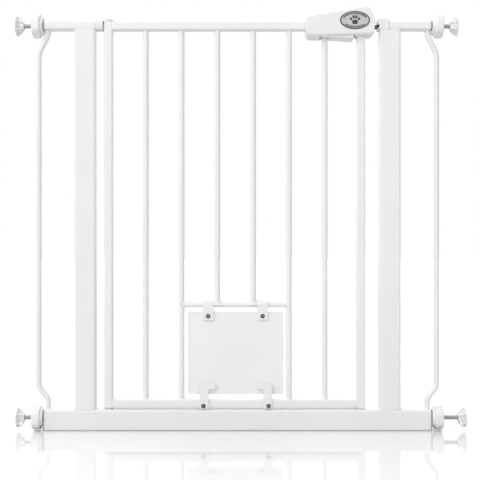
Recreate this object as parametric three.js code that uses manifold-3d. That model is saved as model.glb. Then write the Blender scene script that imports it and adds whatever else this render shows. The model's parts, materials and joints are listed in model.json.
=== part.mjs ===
// Pressure-fit pet gate with a lockable cat flap, in millimetres, +Z up.
// The origin is on the floor, midway between the posts and midway through their depth.
// +X runs to the latch side, -Y faces the person who works the latch.
import * as THREE from 'three';
import { mergeVertices } from 'three/addons/utils/BufferGeometryUtils.js';
import Module from 'manifold-3d';

const wasm = await Module();
wasm.setup();

// ---- Driving dimensions ----
const GAP = 0.3; // between pieces that touch
const WELD_TURN = 2; // arc steps per eighth of a turn at a tube's corners

// Fixed frame
const DEPTH = 22; // front to back, of posts, arms and base bar
const FRAME_WALL = 1.2;
const POST_WIDTH = 37.5;
const PASSAGE_HALF = 252.5; // centre to a post's inner face
const BASE_HEIGHT = 38;
const ARM_HEIGHT = 15;
const ARM_BOTTOM = 713.5;
const TUBE_END = 342; // centre to the outer ends of arms and base bar
const KEEPER_END = 270; // where the right arm starts, past the keeper
const PLUG_FLANGE = 3;
const PLUG_INSERT = 12;
const ROD_RADIUS = 5;
const ROD_BOW = 355.4; // centre to the side rod's straight run
const ROD_FOOT = 338.3; // centre to the side rod's ends
const LOWER_BEND = 44;
const FOOT_SHARE = 0.3; // straight part of the lower bend's height
const UPPER_BEND = 48;
const BEND_STEPS = 7;
const ROD_STEPS = 2 * BEND_STEPS + 2;

// Adjusters
const SPINDLE_RADIUS = 4;
const SPINDLE_LENGTH = 90;
const BORE_RADIUS = 4.5;
const WHEEL_START = 346; // centre to the hand wheel's collar
const COLLAR_LENGTH = 5;
const COLLAR_RADIUS = 15.5;
const WHEEL_LENGTH = 14;
const WHEEL_RADIUS = 20.7;
const LOBE = 0.8;
const LOBES = 6;
const PAD_LENGTH = 13.5;
const PAD_RADIUS = 17.5;
const PAD_RIM = 3; // thickness of the pad's plate
const PAD_NECK = [8, 4.5]; // radius of the boss, and its length before it flares
const SPINDLE_IN_PAD = 10.5;
const LOWER_ADJUSTER_Z = 22.5;
const UPPER_ADJUSTER_Z = ARM_BOTTOM + ARM_HEIGHT / 2;

// Leaf
const LEAF_DEPTH = 18;
const LEAF_TUBE = 15;
const LEAF_WALL = 1;
const LEAF_BOTTOM = 41;
const LEAF_TOP = 728;
const PIVOT_X = -229.9;
const LATCH_STILE_X = 219.7;
const BAR_RADIUS = 5.5;
const BAR_BORE = 4.7;
const FIRST_BAR_X = -164.1;
const BAR_PITCH = 63.9;
const CROSSBAR_Z = 224.3;
const PIN_RADIUS = 3;
const PIN_HOLE = 3.3;

// Cat flap
const FLAP_WIDTH = 171.2;
const FLAP_HEIGHT = 147.6;
const FLAP_X = -3.6;
const FLAP_BOTTOM = 64.7;
const FLAP_THICK = 3;
const FLAP_FRONT = -5;
const CLIP_WIDTH = 19.4;
const CLIP_XS = [-52.2, 44.6];
const CLIP_RING = 8.2;
const CLIP_BORE = 5.9;
const CLIP_BOTTOM = 197;
const CLIP_FRONT = -7.8;
const CLIP_SCREW_Z = 204;
const CATCH_SCREWS = [-60.5, 55.1];
const CATCH_Z = 45;
const CATCH_FRONT = -12.3;
const CATCH_THICK = 3;

// Latch
const HOUSING_HALF = 21;
const HOUSING_WALL = 2.4;
const HOUSING_CORNERS = [[121.5, 698.8], [240.8, 703], [244.6, 726.5], [232.8, 752.7], [120, 733.8]];
const HOUSING_CUTS = [12, 4, 8, 7, 7];
const TRIGGER_PIVOT = [135, 704];
const TRIGGER_HALF = 16;
const TRIGGER_SLOT = [129.5, 208.5]; // the gap in the housing's floor, from end to end
const UNDER_LATCH = 690; // a height below the housing and the trigger, where their slots start
const BOLT_Z = [716.2, 722.8];
const BOLT_TIP = 253.5;
const BOLT_TAIL = 165;
const BOLT_STEP = 203.5; // where the bolt narrows to its tip
const BOLT_HALF = 6.5; // half depth of the bolt's wide part
const TIP_HALF = 4;
const PLAY = 0.6; // clearance all round where the bolt and the trigger's parts slide
const LEFT_SCREW = [139, 720.5];
const RIGHT_SCREW = [LATCH_STILE_X, 708.5];
const SHANK = 1.8;
const SCREW_HEAD = 3.8; // radius of the catches' and clips' screw heads

// Upper hinge and keeper
const HINGE_BLOCK_END = -239.8;
const STILE_SWEEP = 11; // clears the hinge stile's corners as they turn past the block
const TONGUE_HALF = 8;
const TONGUE_TOP = 730.4;
const KEEPER_FACE = 249.2;
const KEEPER_TOP = 732.2;

// Name, side, height, and how far out the pad's wall face stands
const ADJUSTERS = [
  ['upper_left', -1, UPPER_ADJUSTER_Z, 394.5],
  ['lower_left', -1, LOWER_ADJUSTER_Z, 393.5],
  ['upper_right', 1, UPPER_ADJUSTER_Z, 392],
  ['lower_right', 1, LOWER_ADJUSTER_Z, 406.5],
];

// Catch outline about its screw, with +u towards the middle of the flap
const CATCH_OUTLINE = [[-6.2, -4.5], [9.4, -4.5], [9.4, 29.5], [21.8, 29.5], [21.8, 38.3], [-6.2, 38.3]];
const CATCH_CUTS = [4, 4, 1.5, 2.5, 3, 3];

// Trigger wedge and fin, and the window they meet in the bolt
const FIN_HALF = 3;
const FIN_SLOT = [183.5, 196.5]; // the slot in the top rail that the fin stands up through
const TRIGGER_OUTLINE = [[131, 700.8], [206, 696.2], [206, 704.3], [141, 707.2], [131, 707.2]];
const FIN_OUTLINE = [[186, 702], [194, 702], [194, 719.5], [190, 719.5], [186, 715.5]];
const BOLT_WINDOW = [[184.7, 715], [200.6, 715], [200.6, 724], [193.7, 724]];
const SPRING_RADIUS = 4;
const BADGE = [26.5, 15.8]; // half width and half height
const BADGE_PLACE = [207, 727];

// ---- Materials ----
const finish = (color, roughness, metalness) =>
  new THREE.MeshStandardMaterial({ color, roughness, metalness });
const COATED_STEEL = finish('#ededee', 0.38, 0);
const WHITE_PLASTIC = finish('#eeeeec', 0.5, 0);
const FLAP_PLASTIC = finish('#f0eff1', 0.35, 0);
const DARK_STEEL = finish('#3b3d3f', 0.35, 0.9);
const BRIGHT_STEEL = finish('#8d8f92', 0.25, 1);
const BADGE_GREY = finish('#8b8c8e', 0.4, 0.2);

// ---- Solids: thin wrappers over manifold-3d's boolean operations ----
function solid(geometry) {
  const bare = new THREE.BufferGeometry();
  const flat = geometry.index ? geometry.toNonIndexed() : geometry;
  bare.setAttribute('position', flat.getAttribute('position'));
  const merged = mergeVertices(bare, 1e-4);
  return new wasm.Manifold(new wasm.Mesh({
    numProp: 3,
    vertProperties: merged.getAttribute('position').array,
    triVerts: new Uint32Array(merged.index.array),
  }));
}

function geometryOf(manifold) {
  const mesh = manifold.getMesh();
  const geometry = new THREE.BufferGeometry();
  geometry.setAttribute('position', new THREE.BufferAttribute(mesh.vertProperties, 3));
  geometry.setIndex(new THREE.BufferAttribute(mesh.triVerts, 1));
  const faceted = geometry.toNonIndexed();
  faceted.computeVertexNormals();
  return faceted;
}

function join(...geometries) {
  return geometryOf(geometries.map(solid).reduce((whole, next) => whole.add(next)));
}

function cut(geometry, ...cutters) {
  return geometryOf(cutters.reduce((whole, cutter) => whole.subtract(solid(cutter)), solid(geometry)));
}

// ---- Outlines ----
function rectangle(width, height, radius) {
  const x = width / 2 - radius;
  const y = height / 2 - radius;
  const outline = new THREE.Shape();
  [[x, y], [-x, y], [-x, -y], [x, -y]].forEach(([cx, cy], i) =>
    outline.absarc(cx, cy, radius, i * Math.PI / 2, (i + 1) * Math.PI / 2, false));
  outline.closePath();
  return outline;
}

function tubeOutline(width, height, radius, wall) {
  const outline = rectangle(width, height, radius);
  outline.holes.push(rectangle(width - 2 * wall, height - 2 * wall, radius - wall));
  return outline;
}

function ring(radius, bore) {
  const outline = new THREE.Shape().absarc(0, 0, radius, 0, 2 * Math.PI, false);
  if (bore) outline.holes.push(new THREE.Path().absarc(0, 0, bore, 0, 2 * Math.PI, true));
  return outline;
}

// A closed polygon's corners moved inwards by a wall thickness.
function inset(corners, wall) {
  const count = corners.length;
  const edges = corners.map(([x, y], i) => {
    const [nx, ny] = corners[(i + 1) % count];
    const long = Math.hypot(nx - x, ny - y);
    const normal = [-(ny - y) / long, (nx - x) / long];
    return { normal, reach: normal[0] * x + normal[1] * y + wall };
  });
  return corners.map((_, i) => {
    const a = edges[(i + count - 1) % count];
    const b = edges[i];
    const det = a.normal[0] * b.normal[1] - a.normal[1] * b.normal[0];
    return [
      (a.reach * b.normal[1] - b.reach * a.normal[1]) / det,
      (b.reach * a.normal[0] - a.reach * b.normal[0]) / det,
    ];
  });
}

// A polygon with rounded corners: each corner is a quadratic curve that starts a cut length away.
function roundedPolygon(corners, cuts) {
  const outline = new THREE.Shape();
  corners.forEach((corner, i) => {
    const here = new THREE.Vector2(...corner);
    const before = new THREE.Vector2(...corners[(i + corners.length - 1) % corners.length]);
    const after = new THREE.Vector2(...corners[(i + 1) % corners.length]);
    const start = before.sub(here).setLength(cuts[i]).add(here);
    const end = after.sub(here).setLength(cuts[i]).add(here);
    if (i) outline.lineTo(start.x, start.y);
    else outline.moveTo(start.x, start.y);
    outline.quadraticCurveTo(here.x, here.y, end.x, end.y);
  });
  outline.closePath();
  return outline;
}

function polygon(points) {
  return new THREE.Shape(points.map(([x, y]) => new THREE.Vector2(x, y)));
}

// ---- Extrusions, each with its outline in the plane across the named axis ----
function extrude(outline, depth, curveSegments = WELD_TURN) {
  return new THREE.ExtrudeGeometry(outline, { depth, bevelEnabled: false, curveSegments });
}

// Outline in (Y, Z), from x0 to x1.
function alongX(outline, x0, x1, curveSegments) {
  const turn = new THREE.Matrix4().makeBasis(
    new THREE.Vector3(0, 1, 0), new THREE.Vector3(0, 0, 1), new THREE.Vector3(1, 0, 0));
  return extrude(outline, x1 - x0, curveSegments).applyMatrix4(turn).translate(x0, 0, 0);
}

// Outline in (X, Z), from y0 back to y1.
function alongY(outline, y0, y1, curveSegments) {
  return extrude(outline, y1 - y0, curveSegments).rotateX(Math.PI / 2).translate(0, y1, 0);
}

// Outline in (X, Y), from z0 up to z1.
function alongZ(outline, z0, z1, curveSegments) {
  return extrude(outline, z1 - z0, curveSegments).translate(0, 0, z0);
}

function box(x, y, z) {
  return new THREE.BoxGeometry(x[1] - x[0], y[1] - y[0], z[1] - z[0])
    .translate((x[0] + x[1]) / 2, (y[0] + y[1]) / 2, (z[0] + z[1]) / 2);
}

// A turned piece about +Z from (radius, height) points that start and end on the axis.
function turned(points, segments = 16) {
  return new THREE.LatheGeometry(points.map(([r, z]) => new THREE.Vector2(r, z)), segments)
    .rotateX(Math.PI / 2);
}

// ---- The model: one group, with a nested group for each moving part ----
const gate = new THREE.Group();

function add(parent, name, geometry, material, position = [0, 0, 0], rotation = [0, 0, 0]) {
  const mesh = new THREE.Mesh(geometry, material);
  mesh.name = name;
  mesh.position.set(...position);
  mesh.rotation.set(...rotation);
  parent.add(mesh);
  return mesh;
}

function subgroup(parent, position = [0, 0, 0]) {
  const group = new THREE.Group();
  group.position.set(...position);
  parent.add(group);
  return group;
}

// ---- Fixed frame ----
function buildFrame() {
  const frame = subgroup(gate);
  const base = tubeOutline(DEPTH, BASE_HEIGHT, 4, FRAME_WALL);
  const pinHole = alongZ(ring(PIN_HOLE), -5, 5, 4).translate(PIVOT_X, 0, BASE_HEIGHT / 2);
  add(frame, 'base_bar', cut(alongX(base, -TUBE_END, TUBE_END), pinHole), COATED_STEEL,
    [0, 0, BASE_HEIGHT / 2]);

  const post = tubeOutline(POST_WIDTH, DEPTH, 4, FRAME_WALL);
  const postHeight = ARM_BOTTOM - BASE_HEIGHT - 2 * GAP;
  const arm = tubeOutline(DEPTH, ARM_HEIGHT, 3.5, FRAME_WALL);
  for (const [side, sign] of [['left', -1], ['right', 1]]) {
    const inner = side === 'left' ? PASSAGE_HALF : KEEPER_END;
    add(frame, `${side}_post`, alongZ(post, 0, postHeight), COATED_STEEL,
      [sign * (PASSAGE_HALF + POST_WIDTH / 2), 0, BASE_HEIGHT + GAP]);
    const [from, to] = sign < 0 ? [-TUBE_END, -inner] : [inner, TUBE_END];
    add(frame, `${side}_arm`, alongX(arm, from, to), COATED_STEEL, [0, 0, UPPER_ADJUSTER_Z]);
    add(frame, `${side}_side_rod`, sideRod(sign), COATED_STEEL);
    add(frame, `upper_${side}_end_plug`, endPlug(sign, ARM_HEIGHT, 0), WHITE_PLASTIC,
      [0, 0, UPPER_ADJUSTER_Z]);
    add(frame, `lower_${side}_end_plug`,
      endPlug(sign, BASE_HEIGHT, LOWER_ADJUSTER_Z - BASE_HEIGHT / 2), WHITE_PLASTIC,
      [0, 0, BASE_HEIGHT / 2]);
  }
  add(frame, 'upper_hinge_block', hingeBlock(), WHITE_PLASTIC);
  add(frame, 'upper_hinge_pin', upperPin(), BRIGHT_STEEL, [PIVOT_X, 0, 0]);
  add(frame, 'lower_hinge_bush', alongZ(ring(7.5, PIN_HOLE), BASE_HEIGHT + GAP, LEAF_BOTTOM - GAP, 4),
    WHITE_PLASTIC, [PIVOT_X, 0, 0]);
  add(frame, 'lower_hinge_pin', lowerPin(), BRIGHT_STEEL, [PIVOT_X, 0, 0]);
  add(frame, 'leaf_rest', alongZ(rectangle(15, 14, 3), BASE_HEIGHT + GAP, LEAF_BOTTOM - GAP),
    WHITE_PLASTIC, [LATCH_STILE_X, 0, 0]);
  add(frame, 'latch_keeper', keeper(), WHITE_PLASTIC);
}

// From the base bar's top, out past the hand wheels, and back in under the arm.
class SideRodPath extends THREE.Curve {
  constructor(sign) {
    super();
    this.sign = sign;
  }

  getPoint(t) {
    const foot = BASE_HEIGHT + GAP;
    const top = ARM_BOTTOM - GAP;
    const share = BEND_STEPS / ROD_STEPS;
    const lower = Math.min(t / share, 1);
    const upper = Math.min((1 - t) / share, 1);
    const straight = THREE.MathUtils.clamp((t - share) / (1 - 2 * share), 0, 1);
    const out = Math.min(THREE.MathUtils.smoothstep(lower, FOOT_SHARE, 1),
      THREE.MathUtils.smoothstep(upper, 0, 1));
    const run = top - foot - LOWER_BEND - UPPER_BEND;
    const z = foot + LOWER_BEND * lower + run * straight + UPPER_BEND * (1 - upper);
    return new THREE.Vector3(this.sign * (ROD_FOOT + (ROD_BOW - ROD_FOOT) * out), 0, z);
  }

  // The steps follow the parameter, so that most of them fall in the bends.
  getUtoTmapping(u) {
    return u;
  }
}

function sideRod(sign) {
  return new THREE.ExtrudeGeometry(ring(ROD_RADIUS),
    { steps: ROD_STEPS, curveSegments: 5, extrudePath: new SideRodPath(sign) });
}

// A plug with a flange over the tube's end, bored off centre by boreZ for the spindle.
function endPlug(sign, tubeHeight, boreZ) {
  const play = 2 * (FRAME_WALL + GAP);
  const insert = rectangle(DEPTH - play, tubeHeight - play, 2);
  const flange = rectangle(DEPTH, tubeHeight, 3.5);
  const flangeStart = TUBE_END + GAP;
  const whole = join(
    alongX(insert, TUBE_END - PLUG_INSERT, flangeStart + 1),
    alongX(flange, flangeStart, flangeStart + PLUG_FLANGE));
  const bore = alongX(ring(BORE_RADIUS), 0, 2 * TUBE_END, 4).translate(0, 0, boreZ);
  const plug = cut(whole, bore);
  return sign < 0 ? plug.rotateZ(Math.PI) : plug;
}

// A block plugged into the left arm, with a tongue that holds the pin over the hinge stile.
function hingeBlock() {
  const play = 2 * (FRAME_WALL + GAP);
  const inner = -PASSAGE_HALF + GAP;
  const insert = alongX(rectangle(DEPTH - play, ARM_HEIGHT - play, 2), inner - PLUG_INSERT, inner + 1)
    .translate(0, 0, UPPER_ADJUSTER_Z);
  const body = alongX(rectangle(DEPTH, ARM_HEIGHT, 3), inner, HINGE_BLOCK_END)
    .translate(0, 0, UPPER_ADJUSTER_Z);
  const tongue = new THREE.Shape()
    .moveTo(inner, -TONGUE_HALF)
    .lineTo(PIVOT_X, -TONGUE_HALF)
    .absarc(PIVOT_X, 0, TONGUE_HALF, -Math.PI / 2, Math.PI / 2, false)
    .lineTo(inner, TONGUE_HALF);
  const plate = alongZ(tongue, LEAF_TOP + GAP, TONGUE_TOP, 4);
  const pinHole = alongZ(ring(PIN_HOLE), LEAF_TOP - 5, TONGUE_TOP + 5, 4).translate(PIVOT_X, 0, 0);
  const sweep = alongZ(ring(STILE_SWEEP), ARM_BOTTOM - 1, LEAF_TOP + GAP, 8).translate(PIVOT_X, 0, 0);
  return cut(join(insert, cut(body, sweep), plate), pinHole);
}

function upperPin() {
  const underHead = TONGUE_TOP + GAP;
  return turned([[0, LEAF_TOP - 27], [PIN_RADIUS, LEAF_TOP - 27], [PIN_RADIUS, underHead],
    [7.5, underHead], [7, underHead + 1.2], [4.5, underHead + 2.1], [0, underHead + 2.5]]);
}

// A headed pin up through the base bar's top wall.
function lowerPin() {
  const head = BASE_HEIGHT - FRAME_WALL - GAP;
  return turned([[0, head - 4], [5, head - 4], [5, head], [PIN_RADIUS, head],
    [PIN_RADIUS, LEAF_BOTTOM + 16], [0, LEAF_BOTTOM + 16]]);
}

// A block on the right post, plugged into the arm, with a channel for the bolt's tip.
function keeper() {
  const play = 2 * (FRAME_WALL + GAP);
  const outer = KEEPER_END - GAP;
  const insert = alongX(rectangle(DEPTH - play, ARM_HEIGHT - play, 2), outer - 1, outer + PLUG_INSERT)
    .translate(0, 0, UPPER_ADJUSTER_Z);
  const profile = roundedPolygon([[KEEPER_FACE, ARM_BOTTOM], [outer, ARM_BOTTOM],
    [outer, KEEPER_TOP], [KEEPER_FACE, KEEPER_TOP]], [0.8, 0.8, 2.5, 3]);
  const block = alongY(profile, -DEPTH / 2, DEPTH / 2, 3);
  const channel = box([KEEPER_FACE - 1, BOLT_TIP + 1], [-DEPTH, DEPTH], [BOLT_Z[0] - 1, BOLT_Z[1] + 1]);
  return cut(join(insert, block), channel);
}

// ---- Adjusters: a hand-wheel nut drives a spindle with a wall pad at each corner ----
function buildAdjusters() {
  for (const [name, sign, z, face] of ADJUSTERS) {
    const turn = [0, sign * Math.PI / 2, 0];
    add(subgroup(gate), `${name}_hand_wheel`, handWheel(), WHITE_PLASTIC, [sign * WHEEL_START, 0, z], turn);
    const moving = subgroup(gate, [sign * face, 0, z]);
    add(moving, `${name}_wall_pad`, wallPad(), WHITE_PLASTIC, [0, 0, 0], turn);
    add(moving, `${name}_spindle`, alongZ(ring(SPINDLE_RADIUS), 0, SPINDLE_LENGTH, 6), DARK_STEEL,
      [-sign * (PAD_LENGTH - SPINDLE_IN_PAD + SPINDLE_LENGTH), 0, 0], turn);
  }
}

// Modelled along +Z, away from the tube's end.
function handWheel() {
  const lobed = new THREE.Shape();
  const points = 8 * LOBES;
  for (let i = 0; i < points; i += 1) {
    const angle = 2 * Math.PI * i / points;
    const radius = WHEEL_RADIUS + LOBE * Math.cos(LOBES * angle);
    const [x, y] = [radius * Math.cos(angle), radius * Math.sin(angle)];
    if (i) lobed.lineTo(x, y);
    else lobed.moveTo(x, y);
  }
  lobed.closePath();
  const whole = join(
    alongZ(lobed, COLLAR_LENGTH, COLLAR_LENGTH + WHEEL_LENGTH),
    alongZ(ring(COLLAR_RADIUS), 0, COLLAR_LENGTH + 1, 10));
  return cut(whole, alongZ(ring(BORE_RADIUS), -1, COLLAR_LENGTH + WHEEL_LENGTH + 1, 4));
}

// Modelled with its wall face at z = 0 and its boss towards -Z.
function wallPad() {
  const depth = SPINDLE_IN_PAD + GAP;
  const [neck, straight] = PAD_NECK;
  return turned([[0, -PAD_LENGTH + depth], [SPINDLE_RADIUS + GAP, -PAD_LENGTH + depth],
    [SPINDLE_RADIUS + GAP, -PAD_LENGTH], [neck - 0.5, -PAD_LENGTH], [neck, straight - PAD_LENGTH],
    [PAD_RADIUS - 1.5, -PAD_RIM - 0.5], [PAD_RADIUS, -PAD_RIM], [PAD_RADIUS, 0], [0, 0]], 20);
}

// ---- Swinging leaf ----
function buildLeaf() {
  const leaf = subgroup(gate);
  const upright = tubeOutline(LEAF_TUBE, LEAF_DEPTH, 3, LEAF_WALL);
  const level = tubeOutline(LEAF_DEPTH, LEAF_TUBE, 3, LEAF_WALL);
  const railFrom = PIVOT_X + LEAF_TUBE / 2 + GAP;
  const railTo = LATCH_STILE_X - LEAF_TUBE / 2 - GAP;
  const railTop = LEAF_TOP - LEAF_TUBE / 2;
  const railBottom = LEAF_BOTTOM + LEAF_TUBE / 2;

  add(leaf, 'hinge_stile', alongZ(upright, LEAF_BOTTOM, LEAF_TOP), COATED_STEEL, [PIVOT_X, 0, 0]);
  const boltHole = box([-LEAF_TUBE, LEAF_TUBE], ...boltPassage());
  const rightHole = alongY(ring(SHANK + 0.4), -LEAF_DEPTH, LEAF_DEPTH, 6).translate(0, 0, RIGHT_SCREW[1]);
  add(leaf, 'latch_stile', cut(alongZ(upright, LEAF_BOTTOM, LEAF_TOP), boltHole, rightHole),
    COATED_STEEL, [LATCH_STILE_X, 0, 0]);

  const finSlot = box(FIN_SLOT, [-FIN_HALF - PLAY, FIN_HALF + PLAY], [-LEAF_TUBE, 0]);
  const leftHole = alongY(ring(SHANK + 0.4), -LEAF_DEPTH, LEAF_DEPTH, 6)
    .translate(LEFT_SCREW[0], 0, LEFT_SCREW[1] - railTop);
  add(leaf, 'top_rail', cut(alongX(level, railFrom, railTo), finSlot, leftHole), COATED_STEEL,
    [0, 0, railTop]);
  const catchHoles = CATCH_SCREWS.map((x) =>
    alongY(ring(SHANK), -LEAF_DEPTH, -LEAF_DEPTH / 4, 6).translate(x, 0, CATCH_Z - railBottom));
  add(leaf, 'bottom_rail', cut(alongX(level, railFrom, railTo), ...catchHoles), COATED_STEEL,
    [0, 0, railBottom]);

  const bar = ring(BAR_RADIUS, BAR_BORE);
  const barTop = LEAF_TOP - LEAF_TUBE - GAP;
  for (let i = 0; i < 6; i += 1) {
    const overFlap = i === 2 || i === 3;
    const foot = overFlap ? CROSSBAR_Z + BAR_RADIUS + GAP : LEAF_BOTTOM + LEAF_TUBE + GAP;
    add(leaf, `bar_${i + 1}`, alongZ(bar, foot, barTop, 6), COATED_STEEL,
      [FIRST_BAR_X + i * BAR_PITCH, 0, 0]);
  }
  const reach = BAR_RADIUS + GAP;
  add(leaf, 'flap_crossbar',
    alongX(bar, FIRST_BAR_X + BAR_PITCH + reach, FIRST_BAR_X + 4 * BAR_PITCH - reach, 8),
    COATED_STEEL, [0, 0, CROSSBAR_Z]);

  const play = 2 * (LEAF_WALL + GAP);
  const bush = rectangle(LEAF_TUBE - play, LEAF_DEPTH - play, 1.7);
  bush.holes.push(ring(PIN_HOLE));
  add(leaf, 'stile_head_bush', alongZ(bush, LEAF_TOP - 30, LEAF_TOP, 5), WHITE_PLASTIC, [PIVOT_X, 0, 0]);
  add(leaf, 'stile_foot_bush', alongZ(bush, LEAF_BOTTOM, LEAF_BOTTOM + 20, 5), WHITE_PLASTIC,
    [PIVOT_X, 0, 0]);
  buildCatches(leaf);
  buildLatch(leaf);
  buildFlap();
}

// ---- Turning catches that stand in front of the flap ----
function buildCatches(leaf) {
  CATCH_SCREWS.forEach((x, i) => {
    const side = i ? 'right' : 'left';
    const inward = i ? -1 : 1;
    const outline = roundedPolygon(CATCH_OUTLINE.map(([u, v]) => [inward * u, v]), CATCH_CUTS);
    const hole = alongY(ring(SHANK), -CATCH_THICK, 2 * CATCH_THICK, 6);
    add(subgroup(gate, [x, CATCH_FRONT, CATCH_Z]), `${side}_catch`,
      cut(alongY(outline, 0, CATCH_THICK, 3), hole), WHITE_PLASTIC);
    add(leaf, `${side}_catch_screw`, screw(SCREW_HEAD, 5.5), BRIGHT_STEEL, [x, CATCH_FRONT - GAP, CATCH_Z],
      [Math.PI / 2, 0, 0]);
  });
}

// A round-headed screw that points along -Z from under its head at z = 0.
function screw(headRadius, length, shank = 1.5) {
  return turned([[0, -length], [shank, -length], [shank, 0], [headRadius, 0],
    [headRadius * 0.85, 1.1], [headRadius * 0.4, 1.6], [0, 1.7]], 12);
}

// ---- Cat flap, hung by two clips on the crossbar ----
function buildFlap() {
  const flap = subgroup(gate, [0, 0, CROSSBAR_Z]);
  const holes = CLIP_XS.map((x) =>
    alongY(ring(SHANK), FLAP_FRONT - 5, FLAP_FRONT + 8, 6).translate(x, 0, CLIP_SCREW_Z - CROSSBAR_Z));
  const panel = alongY(rectangle(FLAP_WIDTH, FLAP_HEIGHT, 3), FLAP_FRONT, FLAP_FRONT + FLAP_THICK)
    .translate(FLAP_X, 0, FLAP_BOTTOM + FLAP_HEIGHT / 2 - CROSSBAR_Z);
  add(flap, 'flap_panel', cut(panel, ...holes), FLAP_PLASTIC);
  CLIP_XS.forEach((x, i) => {
    const side = i ? 'right' : 'left';
    add(flap, `${side}_flap_clip`, cut(hingeClip(), alongY(ring(SHANK), -12, 0, 6)
      .translate(0, 0, CLIP_SCREW_Z - CROSSBAR_Z)), WHITE_PLASTIC, [x, 0, 0]);
    add(flap, `${side}_clip_screw`, screw(SCREW_HEAD, 6.4), BRIGHT_STEEL,
      [x, CLIP_FRONT - GAP, CLIP_SCREW_Z - CROSSBAR_Z], [Math.PI / 2, 0, 0]);
  });
}

// A snap ring round the crossbar with a plate down the front of the flap.
function hingeClip() {
  const back = FLAP_FRONT - GAP;
  const bottom = CLIP_BOTTOM - CROSSBAR_Z;
  const lip = THREE.MathUtils.degToRad(-40);
  const outline = new THREE.Shape()
    .moveTo(CLIP_FRONT, bottom)
    .lineTo(CLIP_FRONT, -Math.sqrt(CLIP_RING ** 2 - CLIP_FRONT ** 2))
    .absarc(0, 0, CLIP_RING, Math.PI + Math.acos(-CLIP_FRONT / CLIP_RING), lip, true)
    .absarc(0, 0, CLIP_BORE, lip, Math.PI + Math.acos(-back / CLIP_BORE), false)
    .lineTo(back, bottom);
  outline.closePath();
  return alongX(outline, -CLIP_WIDTH / 2, CLIP_WIDTH / 2, 7);
}

// ---- Latch: two housing shells over the leaf's top corner, a squeeze trigger and a sprung bolt ----
function buildLatch(leaf) {
  add(leaf, 'latch_housing_front', housingShell(-1), WHITE_PLASTIC);
  add(leaf, 'latch_housing_rear', housingShell(1), WHITE_PLASTIC);
  const badge = new THREE.Shape().absellipse(0, 0, BADGE[0], BADGE[1], 0, 2 * Math.PI, false, 0);
  add(leaf, 'latch_badge', alongY(badge, -1, 0, 12), BADGE_GREY,
    [BADGE_PLACE[0], -HOUSING_HALF - GAP, BADGE_PLACE[1]]);
  for (const [side, [x, z]] of [['left', LEFT_SCREW], ['right', RIGHT_SCREW]]) {
    add(leaf, `${side}_housing_screw`, screw(3.6, 33, SHANK), BRIGHT_STEEL, [x, HOUSING_HALF - 2.2, z],
      [-Math.PI / 2, 0, 0]);
  }
  add(leaf, 'trigger_pin', alongY(ring(1.5), -18.1, 18.1, 4), DARK_STEEL,
    [TRIGGER_PIVOT[0], 0, TRIGGER_PIVOT[1]]);
  add(subgroup(gate), 'latch_trigger', trigger(), WHITE_PLASTIC);
  add(subgroup(gate), 'latch_bolt', bolt(), DARK_STEEL);
  add(leaf, 'bolt_spring', spring(), BRIGHT_STEEL);
}

// One half of the housing, open towards the leaf; facing is -1 for the front and 1 for the rear.
function housingShell(facing) {
  const span = (a, b) => (facing < 0 ? [-a, -b] : [b, a]);
  const tray = (corners, cuts, from, to) =>
    alongY(roundedPolygon(corners, cuts), ...span(from, to), 4);
  const inner = inset(HOUSING_CORNERS, HOUSING_WALL);
  const innerCuts = HOUSING_CUTS.map((cutLength) => Math.max(cutLength - HOUSING_WALL, 1.5));
  const wallInside = HOUSING_HALF - HOUSING_WALL;
  const shell = cut(tray(HOUSING_CORNERS, HOUSING_CUTS, HOUSING_HALF, GAP / 2),
    tray(inner, innerCuts, wallInside, -1), ...housingOpenings());
  const post = (radius, [x, z], end) =>
    alongY(ring(radius), ...span(wallInside + 0.5, end), 5).translate(x, 0, z);
  const boss = (radius, place) => post(radius, place, LEAF_DEPTH / 2 + GAP);
  const pinBoss = post(3, TRIGGER_PIVOT, TRIGGER_HALF + GAP);
  const bossed = join(shell, boss(4.6, LEFT_SCREW), boss(4.6, RIGHT_SCREW), pinBoss);
  const hole = (radius, [x, z], y) => alongY(ring(radius), ...y, 6).translate(x, 0, z);
  const outside = HOUSING_HALF + 1;
  const bores = [LEFT_SCREW, RIGHT_SCREW].flatMap((place) => (facing < 0
    ? [hole(SHANK + GAP, place, [-15.5, 0])]
    : [hole(SHANK + GAP, place, [0, outside]), hole(4, place, [HOUSING_HALF - 2.5, outside])]));
  return cut(bossed, ...bores, hole(SHANK, TRIGGER_PIVOT, span(18.4, TRIGGER_HALF)));
}

// The hole that the bolt's tip slides through, as its ranges in Y and Z.
function boltPassage() {
  return [[-TIP_HALF - PLAY, TIP_HALF + PLAY], [BOLT_Z[0] - PLAY, BOLT_Z[1] + PLAY]];
}

// Where the leaf, the trigger and the bolt pass through the housing's walls.
function housingOpenings() {
  const side = LEAF_DEPTH / 2 + GAP;
  const railZ = [LEAF_TOP - LEAF_TUBE - GAP, LEAF_TOP + GAP];
  const half = LEAF_TUBE / 2 + GAP;
  const [left, right] = [HOUSING_CORNERS[4][0], HOUSING_CORNERS[1][0]];
  return [
    box([left - 10, left + 10], [-side, side], railZ),
    box([LATCH_STILE_X - half, LATCH_STILE_X + half], [-side, side], [UNDER_LATCH, LEAF_TOP - LEAF_TUBE]),
    box(TRIGGER_SLOT, [-TRIGGER_HALF - GAP, TRIGGER_HALF + GAP], [UNDER_LATCH, TRIGGER_PIVOT[1] + 3]),
    box([right - 5, right + 10], ...boltPassage()),
  ];
}

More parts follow.
